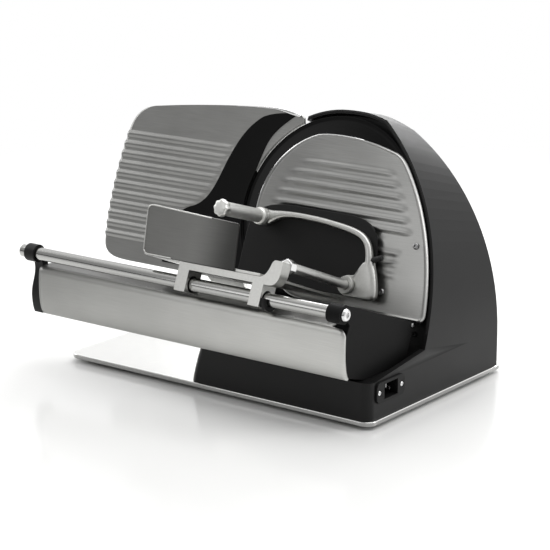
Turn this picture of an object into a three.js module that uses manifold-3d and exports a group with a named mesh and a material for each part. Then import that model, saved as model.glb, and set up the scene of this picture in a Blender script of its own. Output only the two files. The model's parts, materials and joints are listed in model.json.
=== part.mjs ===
// Electric gravity-feed food slicer: a leaning round blade in a domed housing, with a ribbed
// gauge plate to its left and a carriage that slides past it on one chrome rail.
// Millimetres, +Z up, +X to the right along the rail, -Y towards the operator.
// Most of it is drawn about the blade's centre. In the leaning group the local axes are
// x along the rail, u (local y) square to the blade and w (local z) up the blade's face.
import * as THREE from 'three';
import { mergeVertices } from 'three/addons/utils/BufferGeometryUtils.js';
import Module from 'manifold-3d';

const wasm = await Module();
wasm.setup();

// Fits
const SEAT = 0.3; // between fixed pieces that touch
const RUN = 0.3; // round a shaft or a slide, on each side

// Stance
const TILT = THREE.MathUtils.degToRad(22); // lean of the blade, its face turned upwards
const BLADE_X = 71; // blade centre from the middle of the machine
const BLADE_Y = 37.4;
const BLADE_RISE = 163.5; // blade centre above the base plate's top

// Base plate and feet
const BASE_LEFT = -245; // from the blade centre
const BASE_RIGHT = 160;
const BASE_FRONT = -148;
const BASE_REAR = 110;
const BASE_THICK = 5;
const BASE_CORNER_R = 12;
const FOOT_R = 13;
const FOOT_H = 4;
const FOOT_INSET = 28; // from the plate's edges to a foot's axis

// Blade and its drive
const BLADE_R = 110;
const BLADE_THICK = 2;
const BLADE_DISH = 3.2; // from the cutting plane to the dished face
const BLADE_BEVEL_R = 97; // where the ground bevel starts behind the edge
const BLADE_FLAT_R = 88; // where the hollow face starts in front
const HUB_R = 24;
const HUB_THICK = 6;
const SHAFT_R = 7;
const SHAFT_END_U = 64;
const BEARING_R = 13;
const BEARING_WIDE = 7;
const BEARING_CASE_R = 18;
const BEARING_CASE_LONG = 30;
const GEAR_MODULE = 1.5;
const WHEEL_TEETH = 36;
const WHEEL_FACE = 10;
const WORM_PITCH_R = 8;
const WORM_LONG = 22;
const GEAR_SLACK = 0.2; // taken off each flank at the pitch line
const MOTOR_R = 30;
const MOTOR_LONG = 78;
const MOTOR_LEFT = 34; // motor's face from the blade axis
const MOTOR_SHAFT_R = 5;
const MOTOR_SHAFT_IN = 20;
const MOTOR_PLATE = 4.5; // thickness of the motor's bracket

// Housing
const HOUSING_LEFT = -62;
const HOUSING_RIGHT = 157.5;
const HOUSING_REAR = 100;
const HOUSING_WALL = 4;
const LIP_GAP = 7; // from the blade's edge to the round top of the shell's front rim
const LIP_FROM = THREE.MathUtils.degToRad(66.1); // the round top's right and left ends
const LIP_TO = THREE.MathUtils.degToRad(117);
const LIP_CORNER = 4.2; // how far the rim's right corner stands out of its round top
const LIP_BEND = [0.829, 0.624]; // pull of the rim's right side, as shares of the round top's radius
const RECESS_DEEP = 12; // blade recess behind the rim
const RECESS_FOOT = -120; // lower end of the recess, along w
const CONSOLE_FRONT = -146;
const CONSOLE_TOP = -123.7;
const CONSOLE_CORNER_R = 10;
const CHEEK_WIDE = 6; // raised edge along the console's right wall
const FLARE_OUT = 11.4; // how far the console's front left corner spreads at its foot
const FLARE_LONG = 19;

// Gauge plate
const GAUGE_LEFT = -301.5;
const GAUGE_TOP = 109;
const GAUGE_BOTTOM = -89;
const GAUGE_FRONT_U = -1;
const GAUGE_THICK = 5;
const GAUGE_GAP = 1.5; // round the blade's edge
const GAUGE_OPEN = 15; // greatest slice thickness
const RIB_H = 2;
const RIB_W = 5.6;
const RIB_PITCH = 11.8;
const GAUGE_RIBS = 11;
const GAUGE_RIB_TOP = 56.5;
const INLAY_THICK = 1.2;
const INLAY_PROUD = 0.3;
const ARM_THICK = 8;
const SLIDE_X = -74; // slide bar's axis
const SLIDE_W = -115;
const SLIDE_SIDE = 12;
const SLIDE_END_U = 55.5;
const PIN_U = 52;
const PIN_R = 2.5;
const GUIDE_FROM_U = 30;
const GUIDE_TO_U = 46;
const GUIDE_WALL = 7;
const CAM_FAR = 23; // spiral's radius with the gauge closed
const CAM_TURN = THREE.MathUtils.degToRad(300);
const CAM_R = 26.5;
const GROOVE_STEPS = 24;
const CAM_THICK = 7;
const KNOB_R = 22;
const KNOB_LONG = 18;
const KNOB_FACE_X = -112;
const KNOB_SHAFT_R = 4;
const KNOB_LOBES = 12;

// Blade cover
const COVER_R = 91;
const COVER_FRONT_U = -4.5;
const COVER_THICK = 3;
const COVER_BOTTOM = -95;
const COVER_SHOULDER = 66; // where its right side turns over to the top
const COVER_RIM_GAP = 4.6; // between the cover's right edge and the shell's outside
const COVER_RIBS = 10;
const COVER_RIB_TOP = 54.5;
const COVER_POST_R = 4;
const COVER_POST_OUT = { upper: 13.2, lower: 6.8 }; // from the blade's edge to a post's axis
const COVER_POST_ANGLE = { upper: THREE.MathUtils.degToRad(-7.9), lower: THREE.MathUtils.degToRad(-37.2) };
const COVER_SCREW_CLEAR = 2.5; // plain ring round a screw's head, where ribs stop
const COVER_SCREW_R = 3.6;
const COVER_SCREW_H = 2;
const RECESS_SCREW_R = 2.8; // head in the lower right corner of the recess
const RECESS_SCREW_AT = [134.2, -106.3];

// Rail, apron and its ends
const RAIL_R = 7;
const RAIL_U = -139.6;
const RAIL_W = -108.5;
const RAIL_LEFT = -288.5;
const RAIL_SINK = 13; // how far the rail's right end goes into its bracket
const BRACKET_LEFT = 128;
const BRACKET_RIGHT = 144;
const BRACKET_REAR_U = -11;
const BRACKET_REAR_W = -95;
const BRACKET_SCREW_R = 2.2; // small head at the bracket's rear corner
const BRACKET_SCREW_H = 1.4;
const COLLAR_R = 9.8;
const COLLAR_LONG = 0.6;
const CAP_LEFT = -278.5;
const CAP_THICK = 12.3;
const CAP_HEAD_LONG = 13.5;
const CAP_DEEP = 19;
const APRON_SHEET = 2.5;
const APRON_TOP = -63;
const APRON_FOOT = -117.2;
const APRON_FRONT = -171;
const APRON_FLANGE = 52;
const APRON_BEND = 9; // reach of the bend from the flange into the face
const RAIL_SCREW_R = 6.8;
const RAIL_SCREW_H = 3.5;
const RAIL_SCREW_SHANK_R = 3;

// Carriage
const BEAM_LEFT = -62;
const BEAM_RIGHT = 48;
const BEAM_TOP_W = -88;
const BEAM_DEEP = 7;
const BEAM_FRONT_U = -151;
const BEAM_REAR_U = -128.5;
const BLOCK_LONG = 14;
const BLOCK_FOOT_W = -118;
const BUSH_R = 8.4;
const KEEPER_R = 12;
const KEEPER_LONG = 6;
const TRAY_LEFT = -113;
const TRAY_RIGHT = 48;
const TRAY_REAR_U = -11;
const TRAY_THICK = 3;
const GUARD_LEFT = -121;
const GUARD_RIGHT = 2;
const GUARD_TOP_W = -34;
const GUARD_DROP = 5; // fall of the guard's top edge to the right
const GUARD_THICK = 2.5;

// Pusher
const PUSH_ROD_X = 60;
const PUSH_ROD_W = -71.5;
const PUSH_ROD_R = 5;
const PUSH_ROD_REAR_U = -14;
const PUSH_ROD_SPIGOT_R = 2.8;
const LUG_HALF = 6;
const LUG_OVER = 2.5; // the lug's top over the rod's axis
const LUG_REAR_U = -137;
const NUT_R = 7.5;
const NUT_LONG = 10;
const SLEEVE_R = 7.5;
const SLEEVE_FLANGE_R = 9.5;
const SLEEVE_FLANGE = 4;
const PUSH_ARM_THICK = 9;
const PUSH_ARM_HUB_R = 11;
const PUSH_PLATE_REAR_U = -9.4;
const PUSH_PLATE_THICK = 3;
const HANDLE_X = -67.5;
const HANDLE_W = -15;
const HANDLE_DROP = THREE.MathUtils.degToRad(4.4); // lean of the handle off the rod's direction
const HANDLE_SWAY = THREE.MathUtils.degToRad(3.4);
const HANDLE_BOSS = 1.4;
const HANDLE_R = 7.6;
const HANDLE_LONG = 56;
const HANDLE_COLLAR_R = 9.6;
const HANDLE_COLLAR_LONG = 6;
const HANDLE_CAP_R = 9.6;
const HANDLE_CAP_LONG = 9;
const HANDLE_CAP_LOBES = 8;
const STOP_PIN_R = 3;
const STOP_PIN_LONG = 13;
const STOP_PIN_W = -39;

// Mains inlet on the right wall, and the buttons on the left wall
const INLET_Y = -110.5;
const INLET_Z = -136;
const INLET_LONG = 50;
const INLET_HIGH = 22;
const INLET_FLANGE = 2.5;
const INLET_DEEP = 17;
const SOCKET_LONG = 24;
const SOCKET_HIGH = 16;
const SOCKET_WALL = 2;
const SOCKET_FLOOR = 3;
const INLET_PIN = [10, 2, 4];
const INLET_PIN_PITCH = 7;
const INLET_SCREW_PITCH = 40;
const INLET_SCREW_R = 2.8;
const INLET_SCREW_H = 1.6;
const BUTTON_R = 7;
const BUTTON_PITCH = 20;
const BUTTON_Y = -104;
const BUTTON_Z = -145;
const BUTTON_PROUD = 3.5;
const BUTTON_TRAVEL = 3;
const BEZEL_THICK = 2.5;
const BEZEL_MARGIN = 4;
const SWITCH_DEEP = 20;

// Places that follow from the sizes above
const cosT = Math.cos(TILT);
const sinT = Math.sin(TILT);
const floorToBase = FOOT_H + BASE_THICK;
const baseTop = -BLADE_RISE;
const consoleHigh = CONSOLE_TOP - baseTop;
const bladeBack = BLADE_DISH + BLADE_THICK;
const wallBack = RECESS_DEEP + HOUSING_WALL;
const lipR = BLADE_R + LIP_GAP;
const wheelR = (GEAR_MODULE * WHEEL_TEETH) / 2;
const gearDistance = wheelR + WORM_PITCH_R;
const gearPitch = Math.PI * GEAR_MODULE;
const bearingCaseEnd = wallBack + SEAT + BEARING_CASE_LONG;
const wheelU = bearingCaseEnd + 1 + WHEEL_FACE / 2;
const gaugeBack = GAUGE_FRONT_U + GAUGE_THICK;
const camU = PIN_U + CAM_FAR;
const rail = fromSlope(RAIL_U, RAIL_W);
const trayTop = BEAM_TOP_W + SEAT + TRAY_THICK;
const pushPlateFront = PUSH_PLATE_REAR_U - PUSH_PLATE_THICK;
const pushArmRear = pushPlateFront - SEAT;
const pushArmFront = pushArmRear - PUSH_ARM_THICK;

// Materials
const finish = (color, roughness, metalness) =>
  new THREE.MeshStandardMaterial({ color, roughness, metalness });
const aluminium = finish(0xc4c4c2, 0.35, 1);
const brushed = finish(0xb4b4b2, 0.42, 1);
const chrome = finish(0xd8d8d8, 0.1, 1);
const bladeSteel = finish(0x8c8d8f, 0.14, 1);
const steel = finish(0x9b9b9b, 0.35, 1);
const blackPaint = finish(0x161616, 0.4, 0.2);
const blackPlastic = finish(0x131313, 0.5, 0);
const blackGloss = finish(0x0e0e0e, 0.2, 0);
const rubber = finish(0x1c1c1c, 0.8, 0);
const bronze = finish(0xa9783c, 0.4, 1);
const motorGrey = finish(0x5b5e62, 0.5, 0.7);
const stopRed = finish(0x8e1c1a, 0.45, 0);

// Leaning coordinates to upright ones, both about the blade's centre
function fromSlope(u, w) {
  return { y: u * cosT + w * sinT, z: w * cosT - u * sinT };
}

// A closed surface as a solid, with its faces turned outwards
function solid(geometry) {
  const bare = geometry.clone();
  bare.deleteAttribute('normal');
  bare.deleteAttribute('uv');
  const merged = mergeVertices(bare, 1e-4);
  const points = merged.attributes.position.array;
  const faces = Array.from(merged.index.array);
  const at = (i) => new THREE.Vector3().fromArray(points, 3 * i);
  const kept = [];
  let volume = 0;
  for (let i = 0; i < faces.length; i += 3) {
    const [a, b, c] = faces.slice(i, i + 3);
    if (a === b || b === c || c === a) continue;
    kept.push(a, b, c);
    volume += at(a).dot(at(b).cross(at(c)));
  }
  if (volume < 0) {
    for (let i = 0; i < kept.length; i += 3) {
      [kept[i], kept[i + 1]] = [kept[i + 1], kept[i]];
    }
  }
  const mesh = new wasm.Mesh({
    numProp: 3,
    vertProperties: new Float32Array(points),
    triVerts: new Uint32Array(kept),
  });
  return new wasm.Manifold(mesh);
}

const union = (...geometries) => geometries.map(solid).reduce((a, b) => a.add(b));
const cut = (body, ...geometries) => geometries.map(solid).reduce((a, b) => a.subtract(b), body);

function addPart(parent, name, shape, material) {
  const body = shape.isBufferGeometry ? solid(shape) : shape;
  const mesh = body.getMesh();
  const geometry = new THREE.BufferGeometry();
  geometry.setAttribute('position', new THREE.BufferAttribute(mesh.vertProperties, 3));
  geometry.setIndex(new THREE.BufferAttribute(mesh.triVerts, 1));
  geometry.computeVertexNormals();
  const part = new THREE.Mesh(geometry, material);
  part.name = name;
  parent.add(part);
}

// Outline helpers
const outline = (points) => new THREE.Shape(points.map(([a, b]) => new THREE.Vector2(a, b)));

function roundedRect(left, low, right, high, r) {
  const shape = new THREE.Shape();
  shape.absarc(right - r, low + r, r, -Math.PI / 2, 0, false);
  shape.absarc(right - r, high - r, r, 0, Math.PI / 2, false);
  shape.absarc(left + r, high - r, r, Math.PI / 2, Math.PI, false);
  shape.absarc(left + r, low + r, r, Math.PI, 1.5 * Math.PI, false);
  return shape;
}

// A closed outline drawn in by a distance, each point along the middle of its two edges' normals
function insetPoints(points, distance) {
  const side = THREE.ShapeUtils.area(points) > 0 ? 1 : -1;
  const normal = (from, to) => {
    const along = to.clone().sub(from).normalize();
    return new THREE.Vector2(-along.y, along.x).multiplyScalar(side);
  };
  const loop = points.filter((p, i) => p.distanceTo(points[(i + 1) % points.length]) > 1e-6);
  return loop.map((p, i) => {
    const before = normal(loop[(i + loop.length - 1) % loop.length], p);
    const after = normal(p, loop[(i + 1) % loop.length]);
    const middle = before.add(after).normalize();
    return p.clone().add(middle.multiplyScalar(distance / Math.max(middle.dot(after), 0.3)));
  });
}

// A wavy round outline, for grips
function lobed(r, depth, lobes) {
  const points = [];
  const steps = lobes * 5;
  for (let i = 0; i < steps; i += 1) {
    const angle = (2 * Math.PI * i) / steps;
    const reach = r - (depth * (1 - Math.cos(lobes * angle))) / 2;
    points.push([reach * Math.cos(angle), reach * Math.sin(angle)]);
  }
  return outline(points);
}

// Slabs: an outline in (x, w) from u0 to u1, in (y, z) from x0 to x1, and in (x, y) from z0 to z1
function slabXW(shape, u0, u1, bevel = 0, curveSegments = 8) {
  const depth = u1 - u0 - 2 * bevel;
  const options = {
    depth,
    curveSegments,
    bevelEnabled: bevel > 0,
    bevelThickness: bevel,
    bevelSize: bevel,
    bevelOffset: -bevel,
    bevelSegments: 1,
  };
  const geometry = new THREE.ExtrudeGeometry(shape, options);
  geometry.rotateX(Math.PI / 2);
  return geometry.translate(0, u1 - bevel, 0);
}

function slabYZ(shape, x0, x1, curveSegments = 8) {
  const options = { depth: x1 - x0, curveSegments, bevelEnabled: false };
  const geometry = new THREE.ExtrudeGeometry(shape, options);
  const axes = [new THREE.Vector3(0, 1, 0), new THREE.Vector3(0, 0, 1), new THREE.Vector3(1, 0, 0)];
  geometry.applyMatrix4(new THREE.Matrix4().makeBasis(...axes));
  return geometry.translate(x0, 0, 0);
}

function slabXY(shape, z0, z1, curveSegments = 8) {
  const options = { depth: z1 - z0, curveSegments, bevelEnabled: false };
  return new THREE.ExtrudeGeometry(shape, options).translate(0, 0, z0);
}

function block(x0, x1, y0, y1, z0, z1) {
  const geometry = new THREE.BoxGeometry(x1 - x0, y1 - y0, z1 - z0);
  return geometry.translate((x0 + x1) / 2, (y0 + y1) / 2, (z0 + z1) / 2);
}

// Round bars along x, along u (or y) and along z
function barX(r, x0, x1, y, z, sides = 24) {
  const geometry = new THREE.CylinderGeometry(r, r, x1 - x0, sides).rotateZ(Math.PI / 2);
  return geometry.translate((x0 + x1) / 2, y, z);
}

function barU(r, u0, u1, x, w, sides = 24) {
  return new THREE.CylinderGeometry(r, r, u1 - u0, sides).translate(x, (u0 + u1) / 2, w);
}

function barZ(r, z0, z1, x, y, sides = 20) {
  const geometry = new THREE.CylinderGeometry(r, r, z1 - z0, sides).rotateX(Math.PI / 2);
  return geometry.translate(x, y, (z0 + z1) / 2);
}

// A closed profile of [radius, u] points turned about the u axis
function turned(profile, sides) {
  const points = [...profile, profile[0]].map(([r, u]) => new THREE.Vector2(r, u));
  return new THREE.LatheGeometry(points, sides);
}

// A skin through closed sections of equal point counts, with flat ends
function loft(sections, flatten) {
  const count = sections[0].length;
  const positions = sections.flat().flatMap((p) => [p.x, p.y, p.z]);
  const index = [];
  for (let s = 0; s + 1 < sections.length; s += 1) {
    for (let i = 0; i < count; i += 1) {
      const a = s * count + i;
      const b = s * count + ((i + 1) % count);
      index.push(a, b, b + count, a, b + count, a + count);
    }
  }
  for (const s of [0, sections.length - 1]) {
    const flat = sections[s].map(flatten);
    const flipped = (THREE.ShapeUtils.area(flat) > 0) === (s === 0);
    for (const [a, b, c] of THREE.ShapeUtils.triangulateShape(flat, [])) {
      const corner = flipped ? [a, c, b] : [a, b, c];
      index.push(...corner.map((i) => s * count + i));
    }
  }
  const geometry = new THREE.BufferGeometry();
  geometry.setAttribute('position', new THREE.Float32BufferAttribute(positions, 3));
  geometry.setIndex(index);
  return geometry;
}

const machine = new THREE.Group();
machine.position.set(BLADE_X, BLADE_Y, floorToBase + BLADE_RISE);
const slope = new THREE.Group();
slope.rotation.x = -TILT;
machine.add(slope);

// Base plate on four low feet
const plateShape = roundedRect(BASE_LEFT, BASE_FRONT, BASE_RIGHT, BASE_REAR, BASE_CORNER_R);
addPart(machine, 'base_plate', slabXY(plateShape, baseTop - BASE_THICK, baseTop, 6), aluminium);
const footPlaces = {
  front_left: [BASE_LEFT + FOOT_INSET, BASE_FRONT + FOOT_INSET],
  front_right: [BASE_RIGHT - FOOT_INSET, BASE_FRONT + FOOT_INSET],
  rear_left: [BASE_LEFT + FOOT_INSET, BASE_REAR - FOOT_INSET],
  rear_right: [BASE_RIGHT - FOOT_INSET, BASE_REAR - FOOT_INSET],
};
for (const [place, [x, y]] of Object.entries(footPlaces)) {
  const footTop = baseTop - BASE_THICK;
  addPart(machine, `foot_${place}`, barZ(FOOT_R, footTop - FOOT_H, footTop, x, y), rubber);
}

// Housing: an arch in the blade's plane lofted to a lower arch at the rear
const frontArch = {
  bend: LIP_BEND.map((share) => share * lipR),
  shoulder: 0,
  low: -128,
  top: (share, inset) => {
    const angle = LIP_FROM + (LIP_TO - LIP_FROM) * share;
    const r = lipR - inset + LIP_CORNER * Math.max(0, 1 - 2 * share) ** 1.4;
    return [r * Math.cos(angle), r * Math.sin(angle)];
  },
  knee: 20,
};
const rearArch = {
  corner: [45, 83],
  bend: [106, 46],
  shoulder: -25,
  low: -128,
  top: (share, inset) => {
    const x = 45 + (lipR * Math.cos(LIP_TO) - 45) * share;
    return [x, 83 - inset + 14 * Math.sin(Math.PI * share) - 3 * share];
  },
  knee: 10,
};

function archPoints(arch, inset, left, foot) {
  const right = HOUSING_RIGHT - inset;
  const slant = 0.7 * inset;
  const from = new THREE.Vector2(right, arch.low);
  const lift = new THREE.Vector2(right, arch.shoulder);
  const bend = new THREE.Vector2(arch.bend[0] - slant, arch.bend[1] - slant);
  const corner = new THREE.Vector2(...arch.top(0, inset));
  const side = new THREE.CubicBezierCurve(from, lift, bend, corner).getPoints(22);
  const points = [[left, foot], [right, foot], ...side.map((p) => [p.x, p.y])];
  for (let i = 1; i <= 14; i += 1) {
    points.push(arch.top(i / 14, inset));
  }
  points.push([left, arch.knee]);
  return points;
}

function archSolid(inset, frontU, rearY, foot) {
  const left = HOUSING_LEFT + inset;
  const footW = (foot + frontU * sinT) / cosT;
  const front = archPoints(frontArch, inset, left, footW).map(([x, w]) => {
    const { y, z } = fromSlope(frontU, w);
    return new THREE.Vector3(x, y, z);
  });
  const rear = archPoints(rearArch, inset, left, foot).map(([x, z]) => new THREE.Vector3(x, rearY, z));
  return loft([front, rear], (p) => new THREE.Vector2(p.x, p.z));
}

const leaning = (geometry) => geometry.rotateX(-TILT);
const consoleShape = roundedRect(
  HOUSING_LEFT, CONSOLE_FRONT, HOUSING_RIGHT, HOUSING_REAR / 2, CONSOLE_CORNER_R,
);
const cheekFoot = fromSlope(0, RECESS_FOOT);
const cheekShape = outline([
  [CONSOLE_FRONT + CONSOLE_CORNER_R, CONSOLE_TOP - HOUSING_WALL],
  [cheekFoot.y + HOUSING_WALL, CONSOLE_TOP - HOUSING_WALL],
  [cheekFoot.y + HOUSING_WALL, cheekFoot.z],
  [CONSOLE_FRONT + CONSOLE_CORNER_R, CONSOLE_TOP],
]);
// The console's front left corner spreads towards the plate
const flareRings = Array.from({ length: 6 }, (_, i) => {
  const share = i / 5;
  const left = HOUSING_LEFT - FLARE_OUT * (1 - share ** 1.25);
  const ring = roundedRect(left, CONSOLE_FRONT, 0, CONSOLE_FRONT + FLARE_LONG, FLARE_LONG / 2 - 0.1);
  const z = baseTop + consoleHigh * share;
  return ring.extractPoints(4).shape.map((p) => new THREE.Vector3(p.x, p.y, z));
});
let shell = union(
  loft(flareRings, (p) => new THREE.Vector2(p.x, p.y)),
  archSolid(0, 0, HOUSING_REAR, baseTop),
  slabXY(consoleShape, baseTop, CONSOLE_TOP),
  slabYZ(cheekShape, HOUSING_RIGHT - CHEEK_WIDE, HOUSING_RIGHT),
);
const recessShape = outline(archPoints(frontArch, HOUSING_WALL, -2 * BLADE_R, 2 * RECESS_FOOT));
const recess = solid(slabXW(recessShape, -RECESS_DEEP, RECESS_DEEP)).intersect(
  solid(block(-2 * BLADE_R, 2 * BLADE_R, -2 * RECESS_DEEP, 2 * RECESS_DEEP, RECESS_FOOT, BLADE_R * 2)),
);
const leanMatrix = new THREE.Matrix4().makeRotationX(-TILT).elements;
shell = shell.subtract(recess.transform(Array.from(leanMatrix)));
const hollowShape = roundedRect(
  HOUSING_LEFT + HOUSING_WALL,
  CONSOLE_FRONT + HOUSING_WALL,
  HOUSING_RIGHT - HOUSING_WALL,
  HOUSING_REAR / 2,
  CONSOLE_CORNER_R - HOUSING_WALL,
);
shell = cut(
  shell,
  archSolid(HOUSING_WALL, wallBack, HOUSING_REAR - HOUSING_WALL, baseTop - 1),
  slabXY(hollowShape, baseTop - 1, CONSOLE_TOP - HOUSING_WALL),
  leaning(barU(SHAFT_R + 2, 0, wallBack + 1, 0, 0)),
);

// Holes in the right wall for the inlet, and in the left wall for the gauge's pin, knob and buttons
const socketHalf = SOCKET_LONG / 2 + SOCKET_WALL + SEAT;
const socketTall = SOCKET_HIGH / 2 + SOCKET_WALL + SEAT;
const wallIn = HOUSING_LEFT + HOUSING_WALL;
const knobHole = fromSlope(camU, SLIDE_W);
const pinSlot = leaning(
  slabXW(roundedRect(HOUSING_LEFT - 1, SLIDE_W - PIN_R - RUN, wallIn + 1, SLIDE_W + PIN_R + RUN, 0.4),
    PIN_U - PIN_R - RUN, PIN_U + GAUGE_OPEN + PIN_R + RUN),
);
shell = cut(
  shell,
  block(
    HOUSING_RIGHT - INLET_DEEP - 1, HOUSING_RIGHT + 1,
    INLET_Y - socketHalf, INLET_Y + socketHalf, INLET_Z - socketTall, INLET_Z + socketTall,
  ),
  pinSlot,
  barX(KNOB_SHAFT_R + RUN, HOUSING_LEFT - 1, wallIn + 1, knobHole.y, knobHole.z),
  ...[-1, 1].map((side) => barX(
    BUTTON_R + RUN, HOUSING_LEFT - 1, wallIn + 1, BUTTON_Y + (side * BUTTON_PITCH) / 2, BUTTON_Z,
  )),
);
addPart(machine, 'housing', shell, blackPaint);

// Blade, hub and shaft
const hubFront = bladeBack + SEAT;
const hubBack = hubFront + HUB_THICK;
const blade = turned([
  [SHAFT_R + RUN, BLADE_DISH],
  [BLADE_FLAT_R, BLADE_DISH],
  [BLADE_R, 0.4],
  [BLADE_R, 1.2],
  [BLADE_BEVEL_R, bladeBack],
  [SHAFT_R + RUN, bladeBack],
], 64);
addPart(slope, 'blade', blade, bladeSteel);
const hub = turned([
  [0, BLADE_DISH + 0.4],
  [SHAFT_R, BLADE_DISH + 0.4],
  [SHAFT_R, hubFront],
  [HUB_R, hubFront],
  [HUB_R, hubBack],
  [SHAFT_R, hubBack],
  [SHAFT_R, SHAFT_END_U],
  [0, SHAFT_END_U],
], 20);
addPart(slope, 'blade_shaft', hub, steel);

// Bearing case on the back of the wall, with a bearing at each end
const caseFront = wallBack + SEAT;
const bearingSeat = BEARING_R + SEAT;
const bearingCase = turned([
  [SHAFT_R + 2, caseFront + BEARING_WIDE],
  [bearingSeat, caseFront + BEARING_WIDE],
  [bearingSeat, caseFront],
  [BEARING_CASE_R + 10, caseFront],
  [BEARING_CASE_R + 10, caseFront + HOUSING_WALL],
  [BEARING_CASE_R, caseFront + HOUSING_WALL],
  [BEARING_CASE_R, bearingCaseEnd],
  [bearingSeat, bearingCaseEnd],
  [bearingSeat, bearingCaseEnd - BEARING_WIDE],
  [SHAFT_R + 2, bearingCaseEnd - BEARING_WIDE],
], 20);
addPart(slope, 'bearing_case', bearingCase, aluminium);
const bearingAt = (from) => turned([
  [SHAFT_R + RUN, from],
  [BEARING_R, from],
  [BEARING_R, from + BEARING_WIDE - SEAT],
  [SHAFT_R + RUN, from + BEARING_WIDE - SEAT],
], 20);
addPart(slope, 'bearing_front', bearingAt(caseFront), steel);
addPart(slope, 'bearing_rear', bearingAt(bearingCaseEnd - BEARING_WIDE + SEAT), steel);

// Worm wheel: straight-sided teeth, twisted to the worm's lead
const flank = Math.tan(THREE.MathUtils.degToRad(20));
const toothHalf = gearPitch / 4 - GEAR_SLACK;
const addendum = GEAR_MODULE;
const dedendum = 1.2 * GEAR_MODULE;
const leadSlope = gearPitch / (2 * Math.PI * WORM_PITCH_R);

function wheelSection(offset) {
  const twist = (leadSlope * offset) / wheelR;
  const profile = [
    [-(toothHalf + flank * dedendum), -dedendum],
    [-(toothHalf - flank * addendum), addendum],
    [toothHalf - flank * addendum, addendum],
    [toothHalf + flank * dedendum, -dedendum],
  ];
  const points = [];
  for (let tooth = 0; tooth < WHEEL_TEETH; tooth += 1) {
    const middle = -Math.PI / 2 + (2 * Math.PI * tooth) / WHEEL_TEETH + twist;
    for (const [across, up] of profile) {
      const r = wheelR + up;
      const angle = middle + across / wheelR;
      points.push(new THREE.Vector3(r * Math.cos(angle), wheelU + offset, r * Math.sin(angle)));
    }
  }
  return points;
}
const wheelBlank = loft(
  [-WHEEL_FACE / 2, WHEEL_FACE / 2].map(wheelSection), (p) => new THREE.Vector2(p.x, p.z),
);
const wheelBore = barU(SHAFT_R + RUN, wheelU - WHEEL_FACE, wheelU + WHEEL_FACE, 0, 0);
addPart(slope, 'worm_wheel', cut(solid(wheelBlank), wheelBore), bronze);

// Motor shaft with the worm cut on its end: the radius follows the thread round and along
function wormShaft() {
  const around = 12;
  const along = Math.round((WORM_LONG / gearPitch) * 6);
  const threadRadius = (x, angle) => {
    const phase = x / gearPitch - angle / (2 * Math.PI) + 0.5;
    const off = Math.abs(phase - Math.round(phase)) * gearPitch;
    const height = (toothHalf - off) / flank;
    return WORM_PITCH_R + THREE.MathUtils.clamp(height, -dedendum, addendum);
  };
  const sections = [];
  const ring = (x, radius) => {
    const points = [];
    for (let i = 0; i < around; i += 1) {
      const angle = (2 * Math.PI * i) / around;
      const r = radius(x, angle);
      const u = wheelU + r * Math.sin(angle);
      points.push(new THREE.Vector3(x, u, -gearDistance + r * Math.cos(angle)));
    }
    return points;
  };
  sections.push(ring(-WORM_LONG / 2 - 2, () => MOTOR_SHAFT_R));
  for (let i = 0; i <= along; i += 1) {
    sections.push(ring(-WORM_LONG / 2 + (WORM_LONG * i) / along, threadRadius));
  }
  sections.push(ring(WORM_LONG / 2 + 2, () => MOTOR_SHAFT_R));
  sections.push(ring(MOTOR_LEFT + MOTOR_SHAFT_IN, () => MOTOR_SHAFT_R));
  return loft(sections, (p) => new THREE.Vector2(p.y, p.z));
}
addPart(slope, 'motor_shaft', wormShaft(), steel);

// Motor on its bracket, which stands off the back of the recess wall
const motorEnd = MOTOR_LEFT + MOTOR_LONG;
const motorShield = 0.85 * MOTOR_R;
const motorProfile = [
  [0, MOTOR_LEFT],
  [motorShield, MOTOR_LEFT],
  [motorShield, MOTOR_LEFT + 12],
  [MOTOR_R, MOTOR_LEFT + 14],
  [MOTOR_R, motorEnd - 14],
  [motorShield, motorEnd - 12],
  [motorShield, motorEnd],
  [0, motorEnd],
];
const motorBody = turned(motorProfile, 20).rotateZ(-Math.PI / 2).translate(0, wheelU, -gearDistance);
const motorBore = barX(
  MOTOR_SHAFT_R + RUN, MOTOR_LEFT - 1, MOTOR_LEFT + MOTOR_SHAFT_IN + 1, wheelU, -gearDistance,
);
addPart(slope, 'motor', cut(solid(motorBody), motorBore), motorGrey);
const plateFar = MOTOR_LEFT - SEAT;
const plateNear = plateFar - MOTOR_PLATE;
const bracketLow = -gearDistance - MOTOR_R;
const motorPlate = union(
  block(plateNear, plateFar, caseFront, wheelU + 0.7 * MOTOR_R, bracketLow, -gearDistance + MOTOR_R),
  block(plateNear, plateFar + MOTOR_R, caseFront, caseFront + MOTOR_PLATE, bracketLow, -gearDistance),
);
const plateHole = barX(MOTOR_SHAFT_R + 2, plateNear - 1, plateFar + 1, wheelU, -gearDistance);
const wheelClear = barU(wheelR + 3 * addendum, wheelU - WHEEL_FACE, wheelU + WHEEL_FACE, 0, 0);
const caseClear = barU(BEARING_CASE_R + 11, 0, bearingCaseEnd + 1, 0, 0);
addPart(slope, 'motor_bracket', cut(motorPlate, plateHole, wheelClear, caseClear), steel);

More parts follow.
